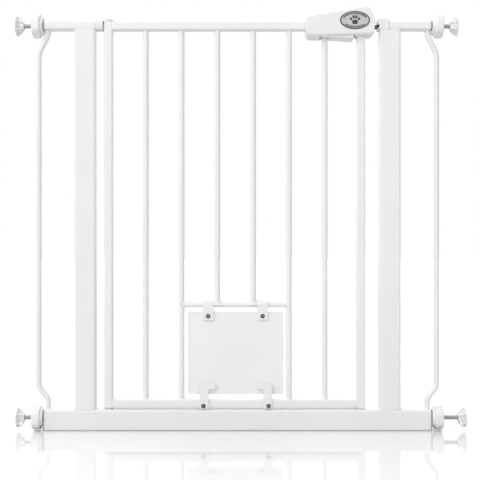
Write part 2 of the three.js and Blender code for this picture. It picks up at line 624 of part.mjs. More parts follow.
// A wedge that hangs below the housing, slotted round a bar, with a fin that works the bolt.
function trigger() {
  const wedge = alongY(polygon(TRIGGER_OUTLINE), -TRIGGER_HALF, TRIGGER_HALF);
  const fin = alongY(polygon(FIN_OUTLINE), -FIN_HALF, FIN_HALF);
  const barX = FIRST_BAR_X + 5 * BAR_PITCH;
  const [reach, half] = [BAR_RADIUS + 1.6, BAR_RADIUS + 0.9]; // the wedge tips, so its slot is longer
  const barSlot = box([barX - reach, barX + reach], [-half, half], [UNDER_LATCH, LEAF_TOP - LEAF_TUBE]);
  const pivot = alongY(ring(SHANK), -DEPTH, DEPTH, 4).translate(TRIGGER_PIVOT[0], 0, TRIGGER_PIVOT[1]);
  return cut(join(wedge, fin), barSlot, pivot);
}

// A bar with a sloping window that the trigger's fin pushes back, and a narrow tip.
function bolt() {
  const bar = box([BOLT_TAIL, BOLT_STEP], [-BOLT_HALF, BOLT_HALF], BOLT_Z);
  const tip = box([BOLT_STEP - 1, BOLT_TIP], [-TIP_HALF, TIP_HALF], BOLT_Z);
  const window = alongY(polygon(BOLT_WINDOW), -FIN_HALF - PLAY, FIN_HALF + PLAY);
  return cut(join(bar, tip), window);
}

// A compression spring between the left housing screw and the bolt's tail.
function spring() {
  const turns = 6;
  const from = LEFT_SCREW[0] + SHANK + 0.8;
  const to = BOLT_TAIL - 0.9;
  class Helix extends THREE.Curve {
    getPoint(t) {
      const angle = 2 * Math.PI * turns * t;
      return new THREE.Vector3(from + (to - from) * t, SPRING_RADIUS * Math.cos(angle),
        (BOLT_Z[0] + BOLT_Z[1]) / 2 + 1 + SPRING_RADIUS * Math.sin(angle));
    }
  }
  return new THREE.ExtrudeGeometry(ring(0.5),
    { steps: 9 * turns, curveSegments: 3, extrudePath: new Helix() });
}

buildFrame();
buildAdjusters();
buildLeaf();

export default gate;
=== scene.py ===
"""The looks of the pet gate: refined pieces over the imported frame, studio, camera and lights.

Shapes are worked out in millimetres and written to the meshes in metres.
u, v run across an outline and w runs along the axis it is carried on.
"""
import json
import math

import bmesh
import bpy
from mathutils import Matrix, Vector


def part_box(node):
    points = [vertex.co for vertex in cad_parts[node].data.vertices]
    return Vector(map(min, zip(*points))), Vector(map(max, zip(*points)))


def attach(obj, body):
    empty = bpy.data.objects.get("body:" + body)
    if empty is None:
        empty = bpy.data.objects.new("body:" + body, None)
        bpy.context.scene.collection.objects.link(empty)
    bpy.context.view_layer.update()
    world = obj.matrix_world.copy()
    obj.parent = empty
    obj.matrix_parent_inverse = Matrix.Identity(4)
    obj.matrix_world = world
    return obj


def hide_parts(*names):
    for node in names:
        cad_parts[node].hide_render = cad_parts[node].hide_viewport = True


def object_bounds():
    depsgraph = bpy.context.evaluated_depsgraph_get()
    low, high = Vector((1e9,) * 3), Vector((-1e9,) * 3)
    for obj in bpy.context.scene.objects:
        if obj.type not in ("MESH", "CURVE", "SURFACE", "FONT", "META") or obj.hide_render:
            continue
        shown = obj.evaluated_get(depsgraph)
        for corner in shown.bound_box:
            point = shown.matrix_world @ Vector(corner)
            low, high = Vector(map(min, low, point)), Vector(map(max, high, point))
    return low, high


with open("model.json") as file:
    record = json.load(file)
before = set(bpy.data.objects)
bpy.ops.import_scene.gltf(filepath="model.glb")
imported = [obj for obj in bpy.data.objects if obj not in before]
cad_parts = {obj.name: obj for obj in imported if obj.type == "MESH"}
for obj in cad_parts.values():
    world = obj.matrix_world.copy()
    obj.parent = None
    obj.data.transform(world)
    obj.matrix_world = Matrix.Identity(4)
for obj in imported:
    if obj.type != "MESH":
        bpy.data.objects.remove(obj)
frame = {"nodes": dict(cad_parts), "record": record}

CAD_BOUNDS = [list(corner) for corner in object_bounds()]
MM = 0.001
TURN = 2 * math.pi
SMOOTH_ANGLE = math.radians(38)

BODY_OF = {node: body for body, nodes in frame["record"]["behaviour"]["bodies"].items() for node in nodes}
SLOT_OF = {part["node"]: part["material_slot"] for part in frame["record"]["subparts"]}
CORNERS = ("upper_left", "lower_left", "upper_right", "lower_right")


def span(node):
    """A CAD node's lowest and highest corners in millimetres."""
    low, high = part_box(node)
    return low / MM, high / MM


def middle(node):
    low, high = span(node)
    return (low + high) / 2


# ---- Outlines, anticlockwise lists of (u, v) ----
def rounded(width, height, radius, steps=7):
    points = []
    for i, (su, sv) in enumerate(((1, 1), (-1, 1), (-1, -1), (1, -1))):
        for k in range(steps + 1):
            angle = (i + k / steps) * math.pi / 2
            points.append((su * (width / 2 - radius) + radius * math.cos(angle),
                           sv * (height / 2 - radius) + radius * math.sin(angle)))
    return points


def circle(radius, count=28, lobes=0, depth=0.0):
    angles = [TURN * i / count for i in range(count)]
    reach = [radius + depth * math.cos(lobes * a) for a in angles]
    return [(r * math.cos(a), r * math.sin(a)) for r, a in zip(reach, angles)]


def ellipse(half_width, half_height, count=64):
    return [(half_width * math.cos(TURN * i / count), half_height * math.sin(TURN * i / count))
            for i in range(count)]


def eased(start, corner, end, steps):
    """Points on a quadratic curve that turns at a corner."""
    return [tuple(start * (1 - t) ** 2 + corner * 2 * t * (1 - t) + end * t * t)
            for t in (k / steps for k in range(steps + 1))]


def soft_polygon(corners, cuts, steps=7):
    """A polygon whose corners are quadratic curves that start a cut length away."""
    points = []
    for i, corner in enumerate(corners):
        here = Vector(corner)
        before, after = Vector(corners[i - 1]), Vector(corners[(i + 1) % len(corners)])
        start = here + (before - here).normalized() * cuts[i]
        end = here + (after - here).normalized() * cuts[i]
        points += eased(start, here, end, steps)
    return points


def grow(outline, distance):
    """The outline moved outwards, corner by corner."""
    grown = []
    count = len(outline)
    for i in range(count):
        here = Vector(outline[i])
        along = [(here - Vector(outline[i - 1])), (Vector(outline[(i + 1) % count]) - here)]
        normals = [Vector((a.y, -a.x)).normalized() for a in along]
        total = normals[0] + normals[1]
        reach = max(1 + normals[0].dot(normals[1]), 0.35)
        grown.append(tuple(here + total * (distance / reach)))
    return grown


def shift(outline, du, dv):
    return [(u + du, v + dv) for u, v in outline]


# ---- Rings: an outline at a place along w ----
def ring(outline, w):
    return [(u, v, w) for u, v in outline]


def edge_steps(edge, steps):
    """(how far in, how far along) for a quarter-round edge, from the face to the side."""
    return [(edge * (1 - math.sin(a)), edge * (1 - math.cos(a)))
            for a in (k / steps * math.pi / 2 for k in range(steps + 1))]


def prism_rings(outline, w0, w1, edge=0.5, steps=4):
    """A solid bar of the outline with rounded ends."""
    near = [ring(grow(outline, -inward), w0 + along) for inward, along in edge_steps(edge, steps)]
    far = [ring(grow(outline, -inward), w1 - along) for inward, along in edge_steps(edge, steps)]
    return near + far[::-1]


def tube_rings(outline, wall, w0, w1, edge=0.3, steps=2):
    """A hollow bar of the outline; its rings run out, along and back inside."""
    inner = grow(outline, -wall)
    return prism_rings(outline, w0, w1, edge, steps) + [ring(inner, w1), ring(inner, w0)]


def turned_rings(profile, count=40, lobes=0, depth=()):
    """A turned bar from (radius, w) points, with lobes where a depth is given."""
    depths = list(depth) + [0.0] * (len(profile) - len(depth))
    return [ring(circle(r, count, lobes, d), w) for (r, w), d in zip(profile, depths)]


def bevelled(profile, edge, steps=3):
    """A (radius, w) profile with its corners rounded."""
    done = [profile[0]]
    for before, here, after in zip(profile, profile[1:], profile[2:]):
        a, b, c = Vector(before), Vector(here), Vector(after)
        cut = min(edge, (a - b).length * 0.45, (c - b).length * 0.45)
        start, end = b + (a - b).normalized() * cut, b + (c - b).normalized() * cut
        done += eased(start, b, end, steps)
    return done + [profile[-1]]


AXES = {
    "X": lambda u, v, w: (w, u, v),
    "-X": lambda u, v, w: (-w, u, v),
    "Y": lambda u, v, w: (u, w, v),
    "-Y": lambda u, v, w: (u, -w, v),
    "Z": lambda u, v, w: (u, v, w),
}


def placed(rings, axis="Z", origin=(0, 0, 0)):
    turn = AXES[axis]
    return [[tuple(a + b for a, b in zip(turn(*point), origin)) for point in points] for points in rings]


# ---- Meshes ----
def put(name, data):
    """Adds an object with this data to the scene."""
    made = bpy.data.objects.new(name, data)
    bpy.context.scene.collection.objects.link(made)
    return made


def smooth(mesh):
    for polygon in mesh.polygons:
        polygon.use_smooth = True
    mesh.set_sharp_from_angle(angle=SMOOTH_ANGLE)


class Part:
    """Collects closed lofts in millimetres and turns them into one piece."""

    def __init__(self):
        self.vertices, self.faces = [], []

    def loft(self, rings, closed=False):
        """Skins the rings; a closed loft joins its last ring to its first, an open one is capped."""
        first, count = len(self.vertices), len(rings[0])
        for points in rings:
            self.vertices.extend(points)
        starts = [first + k * count for k in range(len(rings))]
        for a, b in zip(starts, starts[1:] + ([first] if closed else [])):
            for i in range(count):
                j = (i + 1) % count
                self.faces.append((a + i, a + j, b + j, b + i))
        if not closed:
            self.faces.append(tuple(range(first + count - 1, first - 1, -1)))
            self.faces.append(tuple(range(starts[-1], starts[-1] + count)))
        return self

    def mesh(self, name):
        mesh = bpy.data.meshes.new(name)
        mesh.from_pydata([[c * MM for c in point] for point in self.vertices], [], self.faces)
        working = bmesh.new()
        working.from_mesh(mesh)
        bmesh.ops.recalc_face_normals(working, faces=working.faces)
        working.to_mesh(mesh)
        working.free()
        smooth(mesh)
        return mesh

    def piece(self, name, body, slot, *nodes, materials=None):
        """Makes the object, and says what it rides on, stands for and is made of."""
        made = put(name, self.mesh(name))
        for material in materials or [MATERIALS[slot]]:
            made.data.materials.append(material)
        shading = made.modifiers.new("weighted_normals", "WEIGHTED_NORMAL")
        shading.keep_sharp = True
        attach(made, body)
        if nodes:
            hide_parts(*nodes)
        return made


def solid(name, node, rings, axis="Z", origin=(0, 0, 0), closed=False, materials=None):
    """One loft as a piece that stands for a node, on its body and in its slot."""
    part = Part().loft(placed(rings, axis, origin), closed)
    return part.piece(name, BODY_OF[node], SLOT_OF[node], node, materials=materials)


def tube(name, node, corner, wall, along, extra=0.0):
    """A hollow tube over a node, longer than the node by extra at both ends."""
    low, high = span(node)
    size, centre = high - low, (low + high) / 2
    if along == "Z":
        outline, ends = rounded(size.x, size.y, corner), (low.z - extra, high.z + extra)
        origin = (centre.x, centre.y, 0)
    else:
        outline, ends = rounded(size.y, size.z, corner), (low.x - extra, high.x + extra)
        origin = (0, centre.y, centre.z)
    solid(name, node, tube_rings(outline, wall, *ends), along, origin, closed=True)
    return low, high


def cut_by(piece, tool, overlapping=False):
    """Takes the tool's shape out of the piece, for good, and removes the tool."""
    boolean = piece.modifiers.new("cut", "BOOLEAN")
    boolean.operation, boolean.solver, boolean.object = "DIFFERENCE", "EXACT", tool
    boolean.use_self = overlapping
    piece.modifiers.move(len(piece.modifiers) - 1, 0)
    graph = bpy.context.evaluated_depsgraph_get()
    shading = piece.modifiers["weighted_normals"]
    shading.show_viewport = False
    graph.update()
    mesh = bpy.data.meshes.new_from_object(piece.evaluated_get(graph))
    piece.modifiers.remove(boolean)
    shading.show_viewport = True
    old, piece.data = piece.data, mesh
    mesh.name = piece.name
    bpy.data.meshes.remove(old)
    bpy.data.objects.remove(tool)
    smooth(mesh)


def tool_from(part):
    return put("cutter", part.mesh("cutter"))


# ---- Materials ----
class Tree:
    """A node tree with short calls."""

    def __init__(self, tree):
        self.tree = tree

    def join(self, output, socket):
        self.tree.links.new(output, socket)

    def node(self, kind, settings=None, **inputs):
        made = self.tree.nodes.new(kind)
        for key, value in (settings or {}).items():
            setattr(made, key, value)
        for key, value in inputs.items():
            socket = made.inputs[key.replace("_", " ")]
            if isinstance(value, bpy.types.NodeSocket):
                self.join(value, socket)
            else:
                socket.default_value = value
        return made

    def spread(self, value, low, high, source=(0.3, 0.7)):
        """Maps a value from its source range to low..high."""
        made = self.node("ShaderNodeMapRange", Value=value)
        for key, number in zip(("From Min", "From Max", "To Min", "To Max"), (*source, low, high)):
            made.inputs[key].default_value = number
        return made.outputs["Result"]

    def for_camera(self, others, camera):
        """One shader for the camera's own rays and another for all other rays."""
        mix = self.node("ShaderNodeMixShader", Fac=self.node("ShaderNodeLightPath").outputs["Is Camera Ray"])
        self.join(others, mix.inputs[1])
        self.join(camera, mix.inputs[2])
        return mix.outputs["Shader"]


class Nodes(Tree):
    """A material's node tree, with its shader and object coordinates."""

    def __init__(self, name, colour, roughness, metallic=0.0, specular=0.5):
        self.colour = colour
        self.material = bpy.data.materials.new(name)
        self.material.use_nodes = True
        super().__init__(self.material.node_tree)
        self.shader = self.tree.nodes["Principled BSDF"]
        self.material.diffuse_color = (*colour, 1)
        for socket, value in (("Base Color", (*colour, 1)), ("Roughness", roughness),
                              ("Metallic", metallic), ("Specular IOR Level", specular)):
            self.shader.inputs[socket].default_value = value
        self.place = self.tree.nodes.new("ShaderNodeTexCoord").outputs["Object"]

    def link(self, output, socket):
        self.join(output, self.shader.inputs[socket])

    def stretched(self, scale):
        return self.node("ShaderNodeMapping", Vector=self.place, Scale=scale).outputs["Vector"]

    def noise(self, scale, detail=2.0, place=None, roughness=0.5):
        return self.node("ShaderNodeTexNoise", Vector=place or self.place, Scale=scale,
                         Detail=detail, Roughness=roughness).outputs["Fac"]

    def blend(self, factor, first, second):
        made = self.node("ShaderNodeMix", {"data_type": "RGBA"})
        self.join(factor, made.inputs["Factor"])
        for socket, colour in zip([s for s in made.inputs if s.type == "RGBA"], (first, second)):
            if isinstance(colour, bpy.types.NodeSocket):
                self.join(colour, socket)
            else:
                socket.default_value = (*colour, 1)
        return [s for s in made.outputs if s.type == "RGBA"][0]

    def mottled(self, value, low, high):
        """The material's colour, from darker to brighter as the value goes up."""
        return self.blend(self.spread(value, 0, 1), shade(self.colour, low), shade(self.colour, high))

    def bump(self, height, distance, strength=1.0, under=None):
        made = self.node("ShaderNodeBump", Height=height, Distance=distance, Strength=strength)
        if under is not None:
            self.join(under, made.inputs["Normal"])
        return made.outputs["Normal"]


def shade(colour, factor):
    return tuple(min(c * factor, 1.0) for c in colour)


def powder_coat():
    """White powder coat: orange peel, a soft gloss, and convex edges lightened as a painted highlight."""
    m = Nodes("powder_coat", (0.84, 0.84, 0.862), 0.33)
    # Painted highlight: convex edges (high pointiness) are blended towards a lighter white.
    painted_edge_highlight = m.node("ShaderNodeNewGeometry").outputs["Pointiness"]
    tone = m.mottled(m.noise(9, 3), 0.975, 1.02)
    m.link(m.blend(m.spread(painted_edge_highlight, 0, 0.35, (0.51, 0.6)), tone, (0.9, 0.9, 0.91)), "Base Color")
    m.link(m.spread(m.noise(260, 3), 0.27, 0.4), "Roughness")
    peel = m.bump(m.noise(850, 1), 0.00002, 0.35)
    m.link(m.bump(m.noise(120, 1), 0.00003, 0.15, peel), "Normal")
    m.shader.inputs["Coat Weight"].default_value = 0.1
    m.shader.inputs["Coat Roughness"].default_value = 0.2
    return m.material


def moulded_plastic():
    """White moulded plastic: a fine spark-eroded texture with faint flow marks."""
    m = Nodes("moulded_plastic", (0.85, 0.85, 0.845), 0.42)
    flow = m.noise(14, 4, m.stretched((1, 1, 3)))
    m.link(m.mottled(flow, 0.97, 1.025), "Base Color")
    m.link(m.spread(m.noise(420, 2), 0.34, 0.5), "Roughness")
    grain = m.bump(m.noise(2600, 2), 0.00003, 0.6)
    m.link(m.bump(m.noise(90, 1), 0.00004, 0.15, grain), "Normal")
    return m.material


def sheet_plastic():
    """The flap's glossy sheet, very slightly wavy, with faint handling marks."""
    m = Nodes("sheet_plastic", (0.885, 0.883, 0.89), 0.26)
    m.link(m.mottled(m.noise(11, 3), 0.975, 1.02), "Base Color")
    m.link(m.spread(m.noise(60, 4), 0.27, 0.36), "Roughness")
    fine = m.bump(m.noise(1400, 1), 0.00001, 0.4)
    m.link(m.bump(m.noise(16, 1), 0.0002, 0.12, fine), "Normal")
    return m.material


def plated_steel(name, colour, roughness, metallic):
    """Zinc plate: streaks from turning, small spangles and uneven gloss."""
    m = Nodes(name, colour, roughness, metallic)
    streaks = m.noise(500, 3, m.stretched((8, 1, 1)))
    spangle = m.node("ShaderNodeTexVoronoi", Vector=m.place, Scale=900).outputs["Distance"]
    tone = m.mottled(streaks, 0.75, 1.25)
    m.link(m.blend(m.spread(spangle, 0, 0.3, (0, 0.8)), tone, shade(colour, 1.35)), "Base Color")
    m.link(m.spread(m.noise(700, 2), roughness - 0.08, roughness + 0.12), "Roughness")
    m.link(m.bump(streaks, 0.00003, 0.5), "Normal")
    return m.material


def printed(name, colour, roughness=0.4):
    """Badge ink over plastic: a fine dot screen and a slight mottle."""
    m = Nodes(name, colour, roughness)
    dots = m.node("ShaderNodeTexVoronoi", {"feature": "F1"}, Vector=m.place, Scale=2200,
                  Randomness=0.15).outputs["Distance"]
    tone = m.mottled(m.noise(120, 3), 0.88, 1.1)
    m.link(m.blend(m.spread(dots, 0, 0.35, (0.2, 0.6)), tone, shade(colour, 1.3)), "Base Color")
    m.link(m.spread(m.noise(500, 2), roughness - 0.08, roughness + 0.1), "Roughness")
    m.link(m.bump(dots, 0.00002, 0.4), "Normal")
    return m.material


MATERIALS = {
    "coated_steel": powder_coat(),
    "white_plastic": moulded_plastic(),
    "flap_plastic": sheet_plastic(),
    "dark_steel": plated_steel("dark_steel", (0.1, 0.1, 0.105), 0.34, 0.85),
    "bright_steel": plated_steel("bright_steel", (0.6, 0.6, 0.62), 0.24, 1.0),
    "badge_grey": printed("badge_grey", (0.5, 0.5, 0.515)),
}
BADGE_INK = printed("badge_ink", (0.05, 0.05, 0.055), 0.45)
# Near-black steel for the screws' painted shade in the recess and painted dark reflection on the rim.
SHADOWED_STEEL = plated_steel("shadowed_steel", (0.03, 0.03, 0.032), 0.45, 0.3)
THREAD_STEEL = plated_steel("thread_steel", (0.5, 0.5, 0.51), 0.3, 0.9)
# Near-black colour for the rings of painted shade in the gaps at the hand wheels.
GAP_SHADE_BLACK = printed("gap_shade_black", (0.035, 0.035, 0.037), 0.6)


# ---- Weld beads ----
def bead_rings(start, end, radius, ripples, across, up, squash=0.75, count=14):
    """A weld bead on a line, rippled along its length and pinched at its ends."""
    a, b = Vector(start), Vector(end)
    steps = max(ripples * 4, 8)
    rings = []
    for i in range(steps + 1):
        t = i / steps
        pinch = math.sin(math.pi * min(max(t, 0.004), 0.996)) ** 0.22
        r = radius * pinch * (1 + 0.07 * math.cos(TURN * ripples * t))
        middle_point = a.lerp(b, t)
        rings.append([tuple(middle_point + Vector(across) * (r * math.cos(TURN * k / count))
                            + Vector(up) * (r * squash * math.sin(TURN * k / count)))
                      for k in range(count)])
    return rings


def fillet_rings(radius, size, seat=None, ripples=18, steps=6, count=72):
    """A concave weld round a bar of this radius; seat(u, v) gives the surface's height under it."""
    profile = [(radius - 0.4, -0.5)]
    for k in range(steps + 1):
        angle = k / steps * math.pi / 2
        profile.append((radius + size * (1 - math.sin(angle)), size * (1 - math.cos(angle))))
    profile[1] = (radius + size, -0.4)
    profile.append((radius - 0.4, size))
    rings = []
    for r, w in profile:
        points = []
        for i in range(count):
            angle = TURN * i / count
            bulge = 0.05 * size * math.cos(ripples * angle) * (r > radius)
            u, v = (r + bulge) * math.cos(angle), (r + bulge) * math.sin(angle)
            points.append((u, v, w + (seat(u, v) if seat else 0.0)))
        rings.append(points)
    return rings


def flipped(rings):
    return [[(u, v, -w) for u, v, w in points] for points in rings]


# ---- Fixed frame ----
FRAME_WALL, FRAME_CORNER, ARM_CORNER = 1.2, 4.0, 3.5
WELD_OVERLAP = 0.4  # how far a welded tube's end runs into the tube it meets
ROD_RADIUS = 5.0
ROD_FOOT = 338.3  # from the middle plane to the side rods' ends
LOWER_BEND, UPPER_BEND = 44.0, 48.0
FOOT_SHARE = 0.3  # straight part of the lower bend's height
BEND_STEPS, RUN_STEPS = 18, 8


def build_frame_tubes():
    base_top = tube("base_tube", "base_bar", FRAME_CORNER, FRAME_WALL, "X")[1].z
    welds = Part()
    for side, sign in (("left", -1), ("right", 1)):
        post, arm = f"{side}_post", f"{side}_arm"
        low, high = tube(f"{post}_tube", post, FRAME_CORNER, FRAME_WALL, "Z", WELD_OVERLAP)
        arm_low, arm_high = tube(f"{arm}_tube", arm, ARM_CORNER, FRAME_WALL, "X")
        post_welds(welds, low, high, base_top, arm_low, arm_high)
        rod_welds(welds, sign, base_top, arm_low.z)
    welds.piece("frame_welds", "frame", "coated_steel")


def post_welds(welds, low, high, base_top, arm_low, arm_high):
    """Fillets across the post's sides, and beads in the notches over the tubes' rounded edges."""
    reach = (high.y - low.y) / 2 - FRAME_CORNER
    for x, out in ((low.x, -1), (high.x, 1)):
        seam = x + out * 0.1
        welds.loft(bead_rings((seam, -reach - 1.5, base_top), (seam, reach + 1.5, base_top),
                              1.7, 9, (1, 0, 0), (0, 0, 1), 0.9))
        if arm_low.x <= x <= arm_high.x:
            welds.loft(bead_rings((seam, -reach - 1, arm_low.z), (seam, reach + 1, arm_low.z),
                                  1.4, 9, (1, 0, 0), (0, 0, 1), 0.9))
    inset = FRAME_CORNER - 0.8
    for y, out in ((low.y, -1), (high.y, 1)):
        for z, start, end in ((base_top - 1.1, low.x + inset, high.x - inset),
                              (arm_low.z + 1.0, max(low.x, arm_low.x) + inset, high.x - inset)):
            welds.loft(bead_rings((start - 2, y - out * 1.55, z), (end + 2, y - out * 1.55, z),
                                  1.5, 14, (0, 1, 0), (0, 0, 1), 1.1))


def rod_welds(welds, sign, base_top, arm_bottom):
    radius, foot = ROD_RADIUS, sign * ROD_FOOT
    welds.loft(placed(fillet_rings(radius, 2.0), "Z", (foot, 0, base_top)), closed=True)
    welds.loft(placed(flipped(fillet_rings(radius, 2.0)), "Z", (foot, 0, arm_bottom)), closed=True)


def smoothstep(t):
    t = min(max(t, 0), 1)
    return t * t * (3 - 2 * t)


def rod_path(foot_z, top_z, bow):
    """(distance out, height) from the foot, through both bends, to the top."""
    points = []
    for k in range(BEND_STEPS + 1):
        t = k / BEND_STEPS
        out = smoothstep((t - FOOT_SHARE) / (1 - FOOT_SHARE))
        points.append((ROD_FOOT + (bow - ROD_FOOT) * out, foot_z + LOWER_BEND * t))
    low, high = foot_z + LOWER_BEND, top_z - UPPER_BEND
    points += [(bow, low + (high - low) * k / RUN_STEPS) for k in range(1, RUN_STEPS)]
    for k in range(BEND_STEPS + 1):
        t = 1 - k / BEND_STEPS
        points.append((ROD_FOOT + (bow - ROD_FOOT) * smoothstep(t), top_z - UPPER_BEND * t))
    return points


def build_side_rods():
    for side, sign in (("left", -1), ("right", 1)):
        low, high = span(f"{side}_side_rod")
        bow = max(abs(low.x), abs(high.x)) - ROD_RADIUS
        path = [Vector(p) for p in rod_path(low.z, high.z, bow)]
        path[0].y -= WELD_OVERLAP
        path[-1].y += WELD_OVERLAP
        rings = []
        for i, point in enumerate(path):
            heading = (path[min(i + 1, len(path) - 1)] - path[max(i - 1, 0)]).normalized()
            rings.append([(sign * (point.x + u * heading.y), v, point.y - u * heading.x)
                          for u, v in circle(ROD_RADIUS, 32)])
        Part().loft(rings).piece(f"{side}_rod", "frame", "coated_steel", f"{side}_side_rod")


PLUG_FLANGE = 3.0
# room left at the plug's face for the black ring of painted shade
SHADE_RING_SEAT = 1.0
BORE = 4.5


def build_end_plugs():
    """A flanged cap in each tube's end, and a black ring between it and the hand wheel that paints the shade
    in that gap.
    """
    for name in CORNERS:
        side = name.split("_")[1]
        node = f"{name}_end_plug"
        low, high = span(node)
        sign = -1 if side == "left" else 1
        inner, outer = sorted((abs(low.x), abs(high.x)))
        outer -= SHADE_RING_SEAT
        centre = (low + high) / 2
        bore_v = middle(f"{name}_spindle").z - centre.z
        flange = rounded(high.y - low.y, high.z - low.z, ARM_CORNER, 7)
        insert = grow(flange, -FRAME_WALL - 0.3)
        bore = [(BORE * math.cos(a), BORE * math.sin(a) + bore_v) for a in
                (math.atan2(v - bore_v, u) for u, v in flange)]
        start = outer + SHADE_RING_SEAT - PLUG_FLANGE
        rings = [ring(insert, inner), ring(insert, start), ring(grow(flange, -0.2), start)]
        rings += [ring(grow(flange, -i), outer - a) for i, a in edge_steps(0.7, 4)[::-1]]
        lip = [tuple(Vector(p).lerp(Vector(q), 0.3)) for p, q in zip(bore, flange)]
        rings += [ring(lip, outer), ring(bore, outer), ring(bore, inner)]
        axis = "X" if sign > 0 else "-X"
        solid(f"{name}_plug", node, rings, axis, (0, 0, centre.z), closed=True)
        # Painted shade: a black ring fills the gap between the plug's flange and the wheel's collar.
        shade_ring = grow(flange, -0.9)
        rings = [ring(bore, outer - 0.5), ring(shade_ring, outer - 0.5), ring(grow(shade_ring, 0.1), outer + 0.3),
                 ring(shade_ring, outer + SHADE_RING_SEAT + 0.5), ring(bore, outer + SHADE_RING_SEAT + 0.5)]
        Part().loft(placed(rings, axis, (0, 0, centre.z)), closed=True).piece(
            f"{name}_washer", "frame", "dark_steel", materials=[GAP_SHADE_BLACK])


PIVOT_TONGUE = 8.0  # half width of the tongue over the stile
RIB_PITCH, RIB_DEPTH = 2.3, 0.35
PIN_RADIUS, BUSH_BORE = 3.0, 3.3
HINGE_BLOCK_END = -239.8
STILE_SWEEP = 11.0  # hollow in the block's end that the stile's corners turn in


def build_upper_hinge():
    low, high = span("upper_hinge_block")
    pin_low, pin_high = span("upper_hinge_pin")
    pivot = (pin_low.x + pin_high.x) / 2
    arm_low, arm_high = span("left_arm")
    z, height = (arm_low.z + arm_high.z) / 2, arm_high.z - arm_low.z
    start, end = arm_high.x + 0.3, HINGE_BLOCK_END
    outline = rounded(high.y - low.y, height, 3.0)
    rings = [ring(grow(outline, -i), start + a) for i, a in edge_steps(0.5, 3)]
    w = start + 1.4
    while w + RIB_PITCH < end - 1.0:
        rings += [ring(outline, w), ring(grow(outline, -RIB_DEPTH), w + 0.3),
                  ring(grow(outline, -RIB_DEPTH), w + 0.7), ring(outline, w + 1.0)]
        w += RIB_PITCH
    rings += [ring(grow(outline, -i), end - a) for i, a in edge_steps(0.6, 3)[::-1]]
    block = Part().loft(placed(rings, "X", (0, 0, z)))
    insert = grow(outline, -FRAME_WALL - 0.3)
    block.loft(placed(prism_rings(insert, low.x, start + 2, 0.4), "X", (0, 0, z)))
    tongue_low = high.z - 2.1
    half = PIVOT_TONGUE
    tongue = [(start + 0.5, half), (start + 0.5, -half)]
    tongue += [(pivot + half * math.cos(a), half * math.sin(a))
               for a in (-math.pi / 2 + math.pi * k / 20 for k in range(21))]
    block.loft(placed(prism_rings(tongue, tongue_low, high.z, 0.5), "Z"))
    piece = block.piece("hinge_block", "frame", "white_plastic", "upper_hinge_block")
    hollow = Part().loft(placed([ring(circle(STILE_SWEEP, 96), arm_low.z - 2),
                                 ring(circle(STILE_SWEEP, 96), tongue_low)], "Z", (pivot, 0, 0)))
    cut_by(piece, tool_from(hollow), overlapping=True)

    under, top = high.z + 0.3, pin_high.z
    profile = [(PIN_RADIUS - 0.5, pin_low.z), (PIN_RADIUS, pin_low.z + 0.5), (PIN_RADIUS, under),
               (7.1, under), (7.5, under + 0.35)]
    for k in range(9):
        angle = k / 9 * math.pi / 2
        profile.append((7.4 * math.cos(angle), under + 0.5 + (top - under - 0.5) * math.sin(angle)))
    profile.append((0.3, top))
    pin = solid("hinge_pin_domed", "upper_hinge_pin", turned_rings(profile), "Z",
                (pivot, 0, 0), materials=[MATERIALS["bright_steel"], THREAD_STEEL])
    # Painted shade: the head's lower rim takes the darker thread steel, drawing a dark arc round the dome.
    for polygon in pin.data.polygons:
        polygon.material_index = int(polygon.center.z < (under + 0.6) * MM)


def build_lower_hinge():
    low, high = span("lower_hinge_bush")
    centre = (low + high) / 2
    outer = (high.x - low.x) / 2
    profile = bevelled([(BUSH_BORE, low.z), (outer, low.z), (outer, high.z - 1.2), (outer - 1.6, high.z),
                        (BUSH_BORE, high.z)], 0.5)
    solid("lower_bush", "lower_hinge_bush", turned_rings(profile), "Z", (centre.x, 0, 0), closed=True)
    pin_low, pin_high = span("lower_hinge_pin")
    profile = bevelled([(0.3, pin_low.z), (5, pin_low.z), (5, pin_low.z + 4), (PIN_RADIUS, pin_low.z + 4),
                        (PIN_RADIUS, pin_high.z), (0.3, pin_high.z)], 0.7)
    solid("lower_pin", "lower_hinge_pin", turned_rings(profile), "Z", (centre.x, 0, 0))
    low, high = span("leaf_rest")
    centre = (low + high) / 2
    rest = rounded(high.x - low.x, high.y - low.y, 3)
    solid("leaf_rest_pad", "leaf_rest", prism_rings(rest, low.z, high.z, 0.7), "Z", (centre.x, centre.y, 0))


KEEPER_INSERT = 12.0  # length of the part inside the arm
KEEPER_CUTS = [0.9, 0.9, 2.4, 1.6]
CHANNEL_MARGIN = 1.0
CHEEK = 1.7  # thickness of the walls in front of and behind the bolt's pocket
NOTCH = 2.6  # how far the notch in those walls runs in from the keeper's face


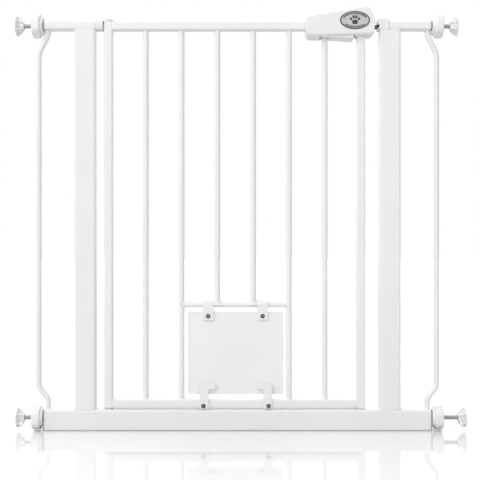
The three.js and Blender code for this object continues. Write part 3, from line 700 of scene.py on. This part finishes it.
def build_keeper():
    """The striker block: rounded over the top, with a pocket for the bolt between thin cheeks."""
    low, high = span("latch_keeper")
    bolt_low, bolt_high = span("latch_bolt")
    outer = high.x - KEEPER_INSERT
    floor, roof = bolt_low.z - CHANNEL_MARGIN, bolt_high.z + CHANNEL_MARGIN
    inside = bolt_high.x + CHANNEL_MARGIN
    corners = [(low.x, low.z), (outer - 0.6, low.z), (outer - 0.6, high.z), (low.x, high.z)]
    outline = soft_polygon(corners, KEEPER_CUTS, 6)
    arm_low, arm_high = span("right_arm")
    insert = grow(rounded(high.y - low.y, arm_high.z - arm_low.z, 3), -FRAME_WALL - 0.3)
    solid("keeper_insert", "latch_keeper",
          prism_rings(insert, outer - 2, high.x, 0.4), "X", (0, 0, (arm_low.z + arm_high.z) / 2))
    piece = solid("keeper_block", "latch_keeper", prism_rings(outline, low.y, high.y, 0.9), "Y")
    pocket = box_rings((low.x - 2, inside), (low.y + CHEEK, high.y - CHEEK), (floor, roof))
    notch = box_rings((low.x - 3, low.x + NOTCH), (low.y - 1, high.y + 1), (bolt_low.z, bolt_high.z - 0.6))
    for rings in (pocket, notch):
        cut_by(piece, tool_from(Part().loft(rings)))


# ---- Adjusters ----
THREAD_PITCH = 1.25
THREAD_DEPTH = 0.55
RINGS_PER_TURN = 6
WHEEL_COUNT = 120  # points round a wheel
WHEEL_LOBES, LOBE_DEPTH = 6, 0.8
FLUTES, FLUTE_DEPTH = 24, 0.018  # fine grooves, as a share of the radius
COLLAR_LENGTH = 5.0


def build_adjusters():
    for name in CORNERS:
        axis = "-X" if name.endswith("left") else "X"
        build_wheel(name, axis)
        build_spindle(name, axis)
        build_pad(name, axis)


def outward(node):
    """A node's nearest and farthest distances from the middle plane, and its centre's height."""
    low, high = span(node)
    near, far = sorted((abs(low.x), abs(high.x)))
    return near, far, (low.z + high.z) / 2


def build_wheel(name, axis):
    """A lobed grip with rounded rims, a tapered collar and a shallow dish on its outer face."""
    near, far, z = outward(f"{name}_hand_wheel")
    low, high = span(f"{name}_hand_wheel")
    rim = (high.z - low.z) / 2
    step = near + COLLAR_LENGTH
    points = [(BORE, near), (11.5, near), (14.6, near), (15.5, near + 0.9), (15.5, step - 1.4),
              (16.4, step - 0.3), (18.2, step), (rim - 1.1, step), (rim - 0.25, step + 1.0),
              (rim, step + 2.2), (rim, far - 2.6), (rim - 0.5, far - 1.1), (rim - 1.8, far),
              (15.8, far), (14.6, far - 1.2), (8.6, far - 1.2), (7.6, far), (BORE, far)]
    lobed = [0, 0, 0, 0, 0, 0.1, 0.5, 0.8, 0.9, 1, 1, 0.9, 0.6, 0.2, 0, 0, 0, 0]
    profile, depths = [], []
    for (r, w), share in zip(points, lobed):
        profile.append((r - LOBE_DEPTH * share, w))
        depths.append(-LOBE_DEPTH * share)
    rings = turned_rings(profile, WHEEL_COUNT, WHEEL_LOBES, depths)
    grips = []
    for points_on, share in zip(rings, lobed):
        notched = []
        for i, (u, v, w) in enumerate(points_on):
            flute = 1 - FLUTE_DEPTH * share * max(0.0, math.cos(TURN * i / WHEEL_COUNT * FLUTES)) ** 4
            notched.append((u * flute, v * flute, w))
        grips.append(notched)
    node = f"{name}_hand_wheel"
    solid(f"{name}_wheel_grip", node, grips, axis, (0, 0, z), closed=True)


def build_spindle(name, axis):
    """A screw with a real helix: each ring's radius follows the thread's phase."""
    near, far, z = outward(f"{name}_spindle")
    low, high = span(f"{name}_spindle")
    radius = (high.z - low.z) / 2
    count = 20
    steps = int((far - near) / THREAD_PITCH * RINGS_PER_TURN)
    rings = []
    for k in range(steps + 1):
        w = near + (far - near) * k / steps
        taper = min((w - near) / 1.5, (far - w) / 1.5, 1)
        points = []
        for i in range(count):
            angle = TURN * i / count
            phase = (w / THREAD_PITCH - i / count) % 1
            groove = THREAD_DEPTH * min(2 * abs(phase - 0.5) * 1.25, 1)
            r = radius - groove - 0.6 * (1 - max(taper, 0))
            points.append((r * math.cos(angle), r * math.sin(angle), w))
        rings.append(points)
    node = f"{name}_spindle"
    solid(f"{name}_thread", node, rings, axis, (0, 0, z), materials=[THREAD_STEEL])


PAD_RIBS, RIB_THICK = 6, 1.6
DISC_THICK = 2.6
GUSSET_FOOT = 9.0  # how far out the gussets stand at the socket's end


def gusset_rings(outline, window, thick, edge):
    """A thin web with a window through it, as a loft that closes on itself."""
    half = thick / 2
    return [ring(grow(outline, -edge), -half), ring(outline, edge - half), ring(outline, half - edge),
            ring(grow(outline, -edge), half), ring(grow(window, edge), half), ring(window, half - edge),
            ring(window, edge - half), ring(grow(window, edge), -half)]


def build_pad(name, axis):
    """A dished disc, a socket for the spindle, and webs with windows between them."""
    near, far, z = outward(f"{name}_wall_pad")
    low, high = span(f"{name}_wall_pad")
    rim = (high.y - low.y) / 2
    spindle_end = outward(f"{name}_spindle")[1] + 0.3
    screw_low, screw_high = span(f"{name}_spindle")
    socket = (screw_high.z - screw_low.z) / 2 + 0.3
    disc_back, dish = far - DISC_THICK, far - 0.8
    profile = bevelled([(0.3, spindle_end), (socket, spindle_end), (socket, near), (6.9, near),
                        (7.4, near + 2), (7.8, disc_back - 1.5), (9.5, disc_back),
                        (rim - 1.2, disc_back + 0.2), (rim, disc_back + 0.9), (rim, far - 0.3),
                        (rim - 1.2, far), (rim - 3.2, dish), (6, dish), (0.3, dish)], 0.6)
    pad = Part().loft(placed(turned_rings(profile, 56), axis, (0, 0, z)))
    slope = rim - 0.3 - GUSSET_FOOT
    gusset = [(6.6, near + 0.3), (GUSSET_FOOT, near + 0.3), (rim - 0.3, near + 0.3 + slope),
              (rim - 0.3, disc_back + 0.6), (6.6, disc_back + 0.6)]
    window = [(8.9, near + 3.4), (9.2, near + 3.4), (rim - 2.5, disc_back - 1.5),
              (rim - 2.8, disc_back - 1.2), (8.9, disc_back - 1.2)]
    for k in range(PAD_RIBS):
        angle = TURN * (k + 0.5) / PAD_RIBS
        c, s = math.cos(angle), math.sin(angle)
        rings = [[(r * c - t * s, r * s + t * c, w) for r, w, t in points]
                 for points in gusset_rings(gusset, window, RIB_THICK, 0.3)]
        pad.loft(placed(rings, axis, (0, 0, z)), closed=True)
    pad.piece(f"{name}_pad", BODY_OF[f"{name}_wall_pad"], "white_plastic", f"{name}_wall_pad")


# ---- Swinging leaf ----
LEAF_WALL, LEAF_CORNER = 1.0, 3.0
FOOT_CAP = 12  # length of the plug under the latch stile
RAIL_OVERLAP = 0.7  # how far a rail's ends run into the stiles' rounded edges
BARS = 6
BAR_WELD, FLAP_WELD, CROSS_WELD = 1.6, 5.5, 2.2


def build_leaf():
    welds = Part()
    for node in ("hinge_stile", "latch_stile"):
        tube(f"{node}_tube", node, LEAF_CORNER, LEAF_WALL, "Z")
    for node in ("top_rail", "bottom_rail"):
        low, high = tube(f"{node}_tube", node, LEAF_CORNER, LEAF_WALL, "X", RAIL_OVERLAP)
        corner_welds(welds, low, high)
    build_bars(welds)
    welds.piece("leaf_welds", "leaf", "coated_steel")
    build_bushes()


def corner_welds(welds, low, high):
    """Beads up the seams at both ends of a rail, front, back, above and below."""
    for x in (low.x - 0.2, high.x + 0.2):
        for y, out in ((low.y, -1), (high.y, 1)):
            seam = y - out * 1.15
            welds.loft(bead_rings((x, seam, low.z + 1), (x, seam, high.z - 1), 1.35, 8, (1, 0, 0),
                                  (0, 1, 0), 0.8))
        for z, out in ((low.z, -1), (high.z, 1)):
            if abs(z - span("latch_stile")[out > 0].z) > 5:
                welds.loft(bead_rings((x, -6.5, z), (x, 6.5, z), 1.3, 7, (1, 0, 0), (0, 0, 1), 0.9))


def build_bars(welds):
    bar_low, bar_high = span("flap_crossbar")
    radius, cross_z = (bar_high.z - bar_low.z) / 2, (bar_low.z + bar_high.z) / 2
    outline = circle(radius, 36)

    def saddle(u, v):
        return math.sqrt(max(radius ** 2 - v ** 2, 0.0)) - radius

    for i in range(1, BARS + 1):
        node = f"bar_{i}"
        low, high = span(node)
        x = (low.x + high.x) / 2
        over_flap = low.z > cross_z
        foot = cross_z if over_flap else low.z - WELD_OVERLAP
        solid(f"{node}_rod", node,
              prism_rings(outline, foot, high.z + WELD_OVERLAP, 0.2, 1), "Z", (x, 0, 0))
        rail_top, rail_bottom = span("top_rail")[0].z, span("bottom_rail")[1].z
        welds.loft(placed(flipped(fillet_rings(radius, BAR_WELD)), "Z", (x, 0, rail_top)), closed=True)
        if over_flap:
            welds.loft(placed(fillet_rings(radius, FLAP_WELD, saddle), "Z", (x, 0, cross_z + radius)),
                       closed=True)
        else:
            welds.loft(placed(fillet_rings(radius, BAR_WELD), "Z", (x, 0, rail_bottom)), closed=True)
    solid("crossbar_rod", "flap_crossbar",
          prism_rings(outline, bar_low.x - 2, bar_high.x + 2, 0.2, 1), "X", (0, 0, cross_z))
    for x, out in ((bar_low.x - 0.3, 1), (bar_high.x + 0.3, -1)):
        rings = fillet_rings(radius, CROSS_WELD, saddle)
        turned = [[(x + out * w, v, cross_z + u) for u, v, w in points] for points in rings]
        welds.loft(turned, closed=True)


def build_bushes():
    """Plugs in the stiles' ends: bored ones on the pivot, and a closed one under the latch stile."""
    low, high = span("hinge_stile")
    centre = (low + high) / 2
    outline = grow(rounded(high.x - low.x, high.y - low.y, LEAF_CORNER), -LEAF_WALL - 0.25)
    bore = [(BUSH_BORE * math.cos(a), BUSH_BORE * math.sin(a))
            for a in (math.atan2(v, u) for u, v in outline)]
    for node in ("stile_head_bush", "stile_foot_bush"):
        b_low, b_high = span(node)
        rings = [ring(grow(outline, -i), b_low.z + a) for i, a in edge_steps(0.5, 3)]
        rings += [ring(grow(outline, -i), b_high.z - a) for i, a in edge_steps(0.5, 3)[::-1]]
        rings += [ring(bore, b_high.z), ring(bore, b_low.z)]
        solid(f"{node}_plug", node, rings, "Z", (centre.x, centre.y, 0), closed=True)
    low, high = span("latch_stile")
    centre = (low + high) / 2
    rings = prism_rings(outline, low.z, low.z + FOOT_CAP, 0.6)
    Part().loft(placed(rings, "Z", (centre.x, centre.y, 0))).piece(
        "latch_stile_foot_cap", "leaf", "white_plastic")


# ---- Screws ----
BRIGHT_CENTRE = 0.5  # share of a head's radius inside its dark rim, which is painted dark reflection
HEAD_HEIGHT, HEAD_EDGE, SHANK = 1.7, 0.45, 1.5
RECESS_WIDTH, RECESS_DEPTH = 0.62, 0.8


def build_screw(name, node, axis):
    """A pan-head screw with a cross recess; the axis points out of its head."""
    low, high = span(node)
    head_radius = (high.x - low.x) / 2
    centre = (low + high) / 2
    out = -low.y if axis == "-Y" else high.y
    tail = -high.y if axis == "-Y" else low.y
    under = out - HEAD_HEIGHT
    profile = [(0.4, tail), (SHANK, tail + 1.2), (SHANK, under), (head_radius - 0.25, under),
               (head_radius, under + 0.2), (head_radius, under + HEAD_EDGE)]
    for k in range(1, 8):
        angle = k / 8 * math.pi / 2
        profile.append((head_radius * math.cos(angle) ** 0.9,
                        under + HEAD_EDGE + (HEAD_HEIGHT - HEAD_EDGE) * math.sin(angle)))
    profile.append((0.3, out))
    place = (centre.x, 0, centre.z)
    piece = solid(name, node, turned_rings(profile, 40), axis, place,
                  materials=[MATERIALS["bright_steel"], SHADOWED_STEEL])
    tool = Part()
    for angle in (math.pi / 4, 3 * math.pi / 4):
        c, s = math.cos(angle), math.sin(angle)
        blade = rounded(head_radius * 1.15, RECESS_WIDTH, 0.2, 3)
        rings = [[(u * c - v * s, u * s + v * c, w) for u, v, w in points]
                 for points in (ring(blade, out - RECESS_DEPTH), ring(blade, out + 1))]
        tool.loft(placed(rings, axis, place))
    cut_by(piece, tool_from(tool), overlapping=True)
    # Painted shade and painted reflection: the cross recess and the head's outer rim take the near-black
    # steel.
    for polygon in piece.data.polygons:
        point = polygon.center / MM
        away = math.hypot(point.x - centre.x, point.z - centre.z)
        recess_shade = abs(point.y) < abs(out) - 0.6 and away < head_radius * 0.6
        polygon.material_index = int(recess_shade or away > head_radius * BRIGHT_CENTRE)


# ---- Cat flap ----
FLAP_RIM, FLAP_RECESS = 5.4, 0.35
CLIP_BORE, CLIP_PLATE = 5.9, 2.5
CLIP_LIP = math.radians(-40)  # where the snap ring ends
CLIP_STEPS = 26


def build_flap():
    low, high = span("flap_panel")
    size, centre = high - low, (low + high) / 2

    def sheet(inward, y):
        return ring(rounded(size.x - 2 * inward, size.z - 2 * inward, max(3 - inward, 1.2), 8), y)

    front = [sheet(FLAP_RIM + 1.2, low.y + FLAP_RECESS), sheet(FLAP_RIM, low.y + FLAP_RECESS),
             sheet(FLAP_RIM - 0.7, low.y)]
    front += [sheet(i, low.y + a) for i, a in edge_steps(0.6, 4)]
    back = [sheet(i, high.y - a) for i, a in edge_steps(0.6, 4)[::-1]]
    back += [sheet(FLAP_RIM - 0.7, high.y), sheet(FLAP_RIM, high.y - FLAP_RECESS),
             sheet(FLAP_RIM + 1.2, high.y - FLAP_RECESS)]
    solid("flap_sheet", "flap_panel", front + back, "Y", (centre.x, 0, centre.z))
    for side in ("left", "right"):
        build_clip(side)
        build_screw(f"{side}_clip_fixing", f"{side}_clip_screw", "-Y")


def build_clip(side):
    """A snap ring round the crossbar that runs into a plate for its screw."""
    node = f"{side}_flap_clip"
    low, high = span(node)
    bar_low, bar_high = span("flap_crossbar")
    cross_z = (bar_low.z + bar_high.z) / 2
    outer = high.z - cross_z
    plate_back = span("flap_panel")[0].y - 0.3
    plate_front = plate_back - CLIP_PLATE
    outer_from = math.pi + math.acos(-plate_front / outer)
    inner_to = math.pi + math.acos(-plate_back / CLIP_BORE)
    rise = cross_z + outer * math.sin(outer_from) - low.z
    outline = [(plate_front, low.z + rise * t) for t in (0, 0.35, 0.7, 1)]
    outline += [(outer * math.cos(a), cross_z + outer * math.sin(a)) for a in
                (outer_from + (CLIP_LIP - outer_from) * k / CLIP_STEPS for k in range(1, CLIP_STEPS + 1))]
    outline += [(CLIP_BORE * math.cos(a), cross_z + CLIP_BORE * math.sin(a)) for a in
                (CLIP_LIP + (inner_to - CLIP_LIP) * k / CLIP_STEPS for k in range(CLIP_STEPS + 1))]
    rise = outline[-1][1] - low.z
    outline += [(plate_back, low.z + rise * t) for t in (0.7, 0.35, 0)]
    outline = outline[::-1] if area(outline) < 0 else outline
    solid(f"{side}_clip", node, prism_rings(outline, low.x, high.x, 0.45, 3), "X")


def area(outline):
    return sum(a[0] * b[1] - b[0] * a[1] for a, b in zip(outline, outline[1:] + outline[:1])) / 2


# ---- Catches ----
CATCH_OUTLINE = [(-6.2, -4.5), (9.4, -4.5), (9.4, 29.5), (21.8, 29.5), (21.8, 38.3), (-6.2, 38.3)]
CATCH_CUTS = [4, 4, 1.8, 2.5, 3, 3]


def build_catches():
    """L-shaped turn buttons: the foot takes the screw, the arm stands over the flap's edge."""
    for side, inward in (("left", 1), ("right", -1)):
        node = f"{side}_catch"
        low, high = span(node)
        screw = middle(f"{side}_catch_screw")
        corners = [(screw.x + inward * u, screw.z + v) for u, v in CATCH_OUTLINE]
        outline = soft_polygon(corners, CATCH_CUTS, 7)
        outline = outline[::-1] if area(outline) < 0 else outline
        solid(f"{side}_turn_button", node, prism_rings(outline, low.y, high.y, 0.8, 4), "Y")
        build_screw(f"{side}_catch_fixing", f"{side}_catch_screw", "-Y")


# ---- Latch ----
HOUSING_CORNERS = [(121.5, 698.8), (240.8, 703), (244.6, 726.5), (232.8, 752.7), (120, 733.8)]
HOUSING_CUTS = [12, 4, 8, 7, 7]
FACE_CORNERS = [(123.0, 703.4), (239.8, 706.6), (243.2, 726.2), (232.0, 751.4), (121.4, 732.8)]
FACE_CUTS = [12, 3.5, 8, 7, 7]
HOUSING_WALL = 2.4
HOUSING_EDGE, EDGE_STEPS = 6.5, 8  # depth of the rounding round the face
TRIGGER_SLOT = 146.5  # where the opening in the housing's floor starts
FLOOR_CUT = (690, 712)  # heights from below the housing up into its hollow
SLOT_TOP = 707.0
BOLT_HOLE_HALF = 4.6


def build_housing():
    for node, name, axis in (("latch_housing_front", "housing_front_shell", "-Y"),
                             ("latch_housing_rear", "housing_rear_shell", "Y")):
        low, high = span(node)
        face = -low.y if axis == "-Y" else high.y
        seam = max(abs(high.y if axis == "-Y" else low.y), 0.15)
        full = soft_polygon(HOUSING_CORNERS, HOUSING_CUTS, 9)
        small = soft_polygon(FACE_CORNERS, FACE_CUTS, 9)
        rings = [ring(grow(full, -0.35), seam), ring(full, seam + 0.4), ring(full, face - HOUSING_EDGE)]
        for k in range(1, EDGE_STEPS + 1):
            a = k / EDGE_STEPS * math.pi / 2
            share, rise = 1 - math.cos(a), math.sin(a)
            points = [tuple(Vector(p).lerp(Vector(q), share)) for p, q in zip(full, small)]
            rings.append(ring(points, face - HOUSING_EDGE + (HOUSING_EDGE - 0.2) * rise))
        inside = grow(full, -HOUSING_WALL)
        cavity = [ring(inside, seam), ring(inside, face - HOUSING_EDGE - 1),
                  ring(grow(inside, -4), face - HOUSING_WALL)]
        rings.append(ring(grow(small, -2.5), face))
        piece = solid(name, node, rings[::-1] + cavity, axis)
        cut_by(piece, tool_from(housing_cutters()))


def box_rings(x, y, z):
    return [[(x[0], y[0], w), (x[1], y[0], w), (x[1], y[1], w), (x[0], y[1], w)] for w in z]


def housing_cutters():
    """Room for the rail, the stile, the trigger and the bolt where they pass the housing's walls."""
    rail_low, rail_high = span("top_rail")
    stile_low, stile_high = span("latch_stile")
    trigger_low, trigger_high = span("latch_trigger")
    bolt_low, bolt_high = span("latch_bolt")
    deep = rail_high.y + 0.3
    left, right = HOUSING_CORNERS[4][0], HOUSING_CORNERS[1][0]
    cutters = Part()
    for box in (
        ((left - 10, left + 10), (-deep, deep), (rail_low.z - 0.3, rail_high.z + 0.3)),
        ((stile_low.x - 0.3, stile_high.x + 0.3), (-deep, deep), FLOOR_CUT),
        ((TRIGGER_SLOT, trigger_high.x + 2.5), (trigger_low.y - 0.3, trigger_high.y + 0.3),
         (FLOOR_CUT[0], SLOT_TOP)),
        ((right - 4.8, right + 9.2), (-BOLT_HOLE_HALF, BOLT_HOLE_HALF),
         (bolt_low.z - 0.6, bolt_high.z + 0.6)),
    ):
        cutters.loft(box_rings(*box))
    return cutters


TRIGGER_OUTLINE = [(131, 702.7), (147.5, 702.7), (149, 699.7), (206, 696.2), (206, 704.3), (141, 707.2),
                   (131, 707.2)]
TRIGGER_CUTS = [1.0, 0.8, 0.8, 1.5, 1.2, 1.5, 1.0]
FIN_OUTLINE = [(186, 702), (194, 702), (194, 719.5), (190, 719.5), (186, 715.5)]
FIN_HALF, FIN_CLEARANCE = 3.0, 0.6
BAR_SLOT = (7.1, 6.4)  # half length and half width of the slot round the bar
BOLT_WINDOW = [(184.7, 715), (200.6, 715), (200.6, 724), (193.7, 724)]
BOLT_STEP = 204  # where the bolt narrows to its tip
TIP_WIDTH = 8


def build_trigger():
    """The squeeze bar: a rounded wedge, slotted round a bar, and its cam fin above."""
    low, high = span("latch_trigger")
    solid("trigger_fin", "latch_trigger", prism_rings(FIN_OUTLINE, -FIN_HALF, FIN_HALF, 0.4, 2), "Y")
    outline = soft_polygon(TRIGGER_OUTLINE, TRIGGER_CUTS, 5)
    piece = solid("squeeze_trigger", "latch_trigger", prism_rings(outline, low.y, high.y, 1.2, 5), "Y")
    x, (reach, half) = middle("bar_6").x, BAR_SLOT
    cut_by(piece, tool_from(Part().loft(box_rings((x - reach, x + reach), (-half, half), FLOOR_CUT))))


def build_bolt():
    low, high = span("latch_bolt")
    height, place = high.z - low.z, (0, 0, (low.z + high.z) / 2)
    narrow = rounded(TIP_WIDTH, height, 0.9, 3)
    rings = [ring(narrow, BOLT_STEP - 2), ring(narrow, high.x - 3.2), ring(grow(narrow, -0.5), high.x - 1.6),
             ring(grow(narrow, -1.3), high.x)]
    solid("bolt_tip", "latch_bolt", rings, "X", place)
    rings = prism_rings(rounded(high.y - low.y, height, 0.7, 3), low.x, BOLT_STEP, 0.5, 2)
    piece = solid("sprung_bolt", "latch_bolt", rings, "X", place)
    window = prism_rings(BOLT_WINDOW, -FIN_HALF - FIN_CLEARANCE, FIN_HALF + FIN_CLEARANCE, 0.01)
    cut_by(piece, tool_from(Part().loft(placed(window, "Y"))))


BADGE_RIM = 2.2
STUDS, BOTTOM_STUDS = 8, 6  # studs on each side of the middle, above and below
STUD_RADIUS, STUD_STEP = 1.25, 0.135
STUD_INSET = (4.7, 4.3)
PAW_SCALE = 1.3
# Paw print: (u, v, half width, half height, tilt) of its pads
PAW = [(0, -2.6, 4.1, 3.1, 0), (-5.4, 1.6, 1.5, 2.1, 28), (-1.9, 4.3, 1.6, 2.3, 8),
       (1.9, 4.3, 1.6, 2.3, -8), (5.4, 1.6, 1.5, 2.1, -28)]


def build_badge():
    """An oval badge with a raised dark rim, two arcs of small studs and a paw print."""
    low, high = span("latch_badge")
    centre, half = (low + high) / 2, (high - low) / 2
    base, top = -high.y, -low.y
    place = (centre.x, 0, centre.z)
    solid("badge_plate", "latch_badge",
          prism_rings(ellipse(half.x, half.z), base, top - 0.35, 0.3, 3), "-Y", place)
    ink = Part()
    outer, inner = (ellipse(half.x - inset, half.z - inset) for inset in (0.1, BADGE_RIM))
    rim = [ring(outer, top - 0.6), ring(outer, top - 0.15), ring(grow(outer, -0.25), top),
           ring(grow(inner, 0.25), top), ring(inner, top - 0.15), ring(inner, top - 0.6)]
    ink.loft(placed(rim, "-Y", place), closed=True)
    for u, v, a, b, tilt in PAW:
        c, s = math.cos(math.radians(tilt)), math.sin(math.radians(tilt))
        pad = [((u + x * c - y * s) * PAW_SCALE, (v + x * s + y * c) * PAW_SCALE)
               for x, y in ellipse(a, b, 32)]
        ink.loft(placed(prism_rings(pad, top - 0.6, top, 0.25, 3), "-Y", place))
    for sign, count in ((1, STUDS), (-1, BOTTOM_STUDS)):
        for k in range(-count, count + 1):
            angle = sign * (math.pi / 2 - k * STUD_STEP)
            stud = shift(circle(STUD_RADIUS, 16), (half.x - STUD_INSET[0]) * math.cos(angle),
                         (half.z - STUD_INSET[1]) * math.sin(angle))
            ink.loft(placed(prism_rings(stud, top - 0.6, top - 0.05, 0.2, 2), "-Y", place))
    ink.piece("badge_rim_and_paw", "leaf", "badge_grey", materials=[BADGE_INK])


def build_latch():
    build_housing()
    build_trigger()
    build_bolt()
    build_badge()
    for side in ("left", "right"):
        build_screw(f"{side}_housing_fixing", f"{side}_housing_screw", "Y")


def finish_carried_nodes():
    """The few hidden CAD nodes that stay get the same finishes as the rest."""
    for node, slot in (("trigger_pin", "dark_steel"), ("bolt_spring", "bright_steel")):
        for place in frame["nodes"][node].material_slots:
            place.link = "OBJECT"
            place.material = MATERIALS[slot]


# ---- Studio ----
FLOOR_HALF = 14.0  # metres
WHITE = (1, 1, 1, 1)
def build_studio():
    low, high = (Vector(c) for c in CAD_BOUNDS)
    floor = bpy.data.meshes.new("studio_floor")
    corners = [(x * FLOOR_HALF, y * FLOOR_HALF, low.z) for x, y in ((-1, -1), (1, -1), (1, 1), (-1, 1))]
    floor.from_pydata(corners, [], [(0, 1, 2, 3)])
    stage = put("studio_floor", floor)
    m = Nodes("studio_floor", (0.92, 0.92, 0.925), 0.05)
    m.link(m.spread(m.noise(3, 2), 0.03, 0.07), "Roughness")
    m.shader.inputs["IOR"].default_value = 2.0
    bounce = m.node("ShaderNodeBsdfDiffuse", Color=(0.66, 0.66, 0.66, 1))
    mix = m.for_camera(bounce.outputs["BSDF"], m.shader.outputs["BSDF"])
    m.join(mix, m.tree.nodes["Material Output"].inputs["Surface"])
    floor.materials.append(m.material)
    build_world()
    centre = (low + high) / 2
    for name, away, size, power in (("key", (-1.3, -1.9, 1.7), 1.6, 16), ("fill", (1.9, -2.2, 0.5), 2.2, 3),
                                    ("rim", (0.3, 1.8, 1.9), 1.6, 5)):
        add_light(name, centre + Vector(away), centre, size, power)


def add_light(name, place, target, size, power):
    data = bpy.data.lights.new(name, "AREA")
    data.shape, data.size, data.energy = "DISK", size, power
    lamp = put(name, data)
    lamp.location = place
    lamp.rotation_euler = (target - place).to_track_quat("-Z", "Y").to_euler()


def build_world():
    """White to look at; as light it is dimmer from the right and a little brighter from behind."""
    world = bpy.data.worlds.new("studio_white")
    world.use_nodes = True
    bpy.context.scene.world = world
    sky = Tree(world.node_tree)
    sky.tree.nodes.clear()
    around = sky.node("ShaderNodeTexCoord").outputs["Generated"]
    split = sky.node("ShaderNodeSeparateXYZ", Vector=around)
    sideways = sky.spread(split.outputs["X"], 1.12, 0.18, (0.15, 0.95))
    behind = sky.spread(split.outputs["Y"], 0.0, 0.3, (0.6, 0.95))
    total = sky.node("ShaderNodeMath", {"operation": "ADD"})
    sky.join(sideways, total.inputs[0])
    sky.join(behind, total.inputs[1])
    light = sky.node("ShaderNodeBackground", Color=WHITE, Strength=total.outputs["Value"])
    seen = sky.node("ShaderNodeBackground", Color=WHITE, Strength=1.0)
    mix = sky.for_camera(light.outputs["Background"], seen.outputs["Background"])
    sky.node("ShaderNodeOutputWorld", Surface=mix)


CAMERA_PLACE = (0.0044, -1.55, 0.3394)
CAMERA_LENS, SENSOR = 65.05, 36.0


def build_camera():
    data = bpy.data.cameras.new("camera")
    data.sensor_width, data.lens = SENSOR, CAMERA_LENS
    data.clip_start, data.clip_end = 0.05, 60
    camera = put("camera", data)
    camera.location = CAMERA_PLACE
    camera.rotation_euler = (math.pi / 2, 0, 0)
    bpy.context.scene.camera = camera
    bpy.context.scene.view_settings.view_transform = "Standard"


build_camera()
build_frame_tubes()
build_side_rods()
build_end_plugs()
build_upper_hinge()
build_lower_hinge()
build_keeper()
build_adjusters()
build_leaf()
build_flap()
build_catches()
build_latch()
finish_carried_nodes()
build_studio()
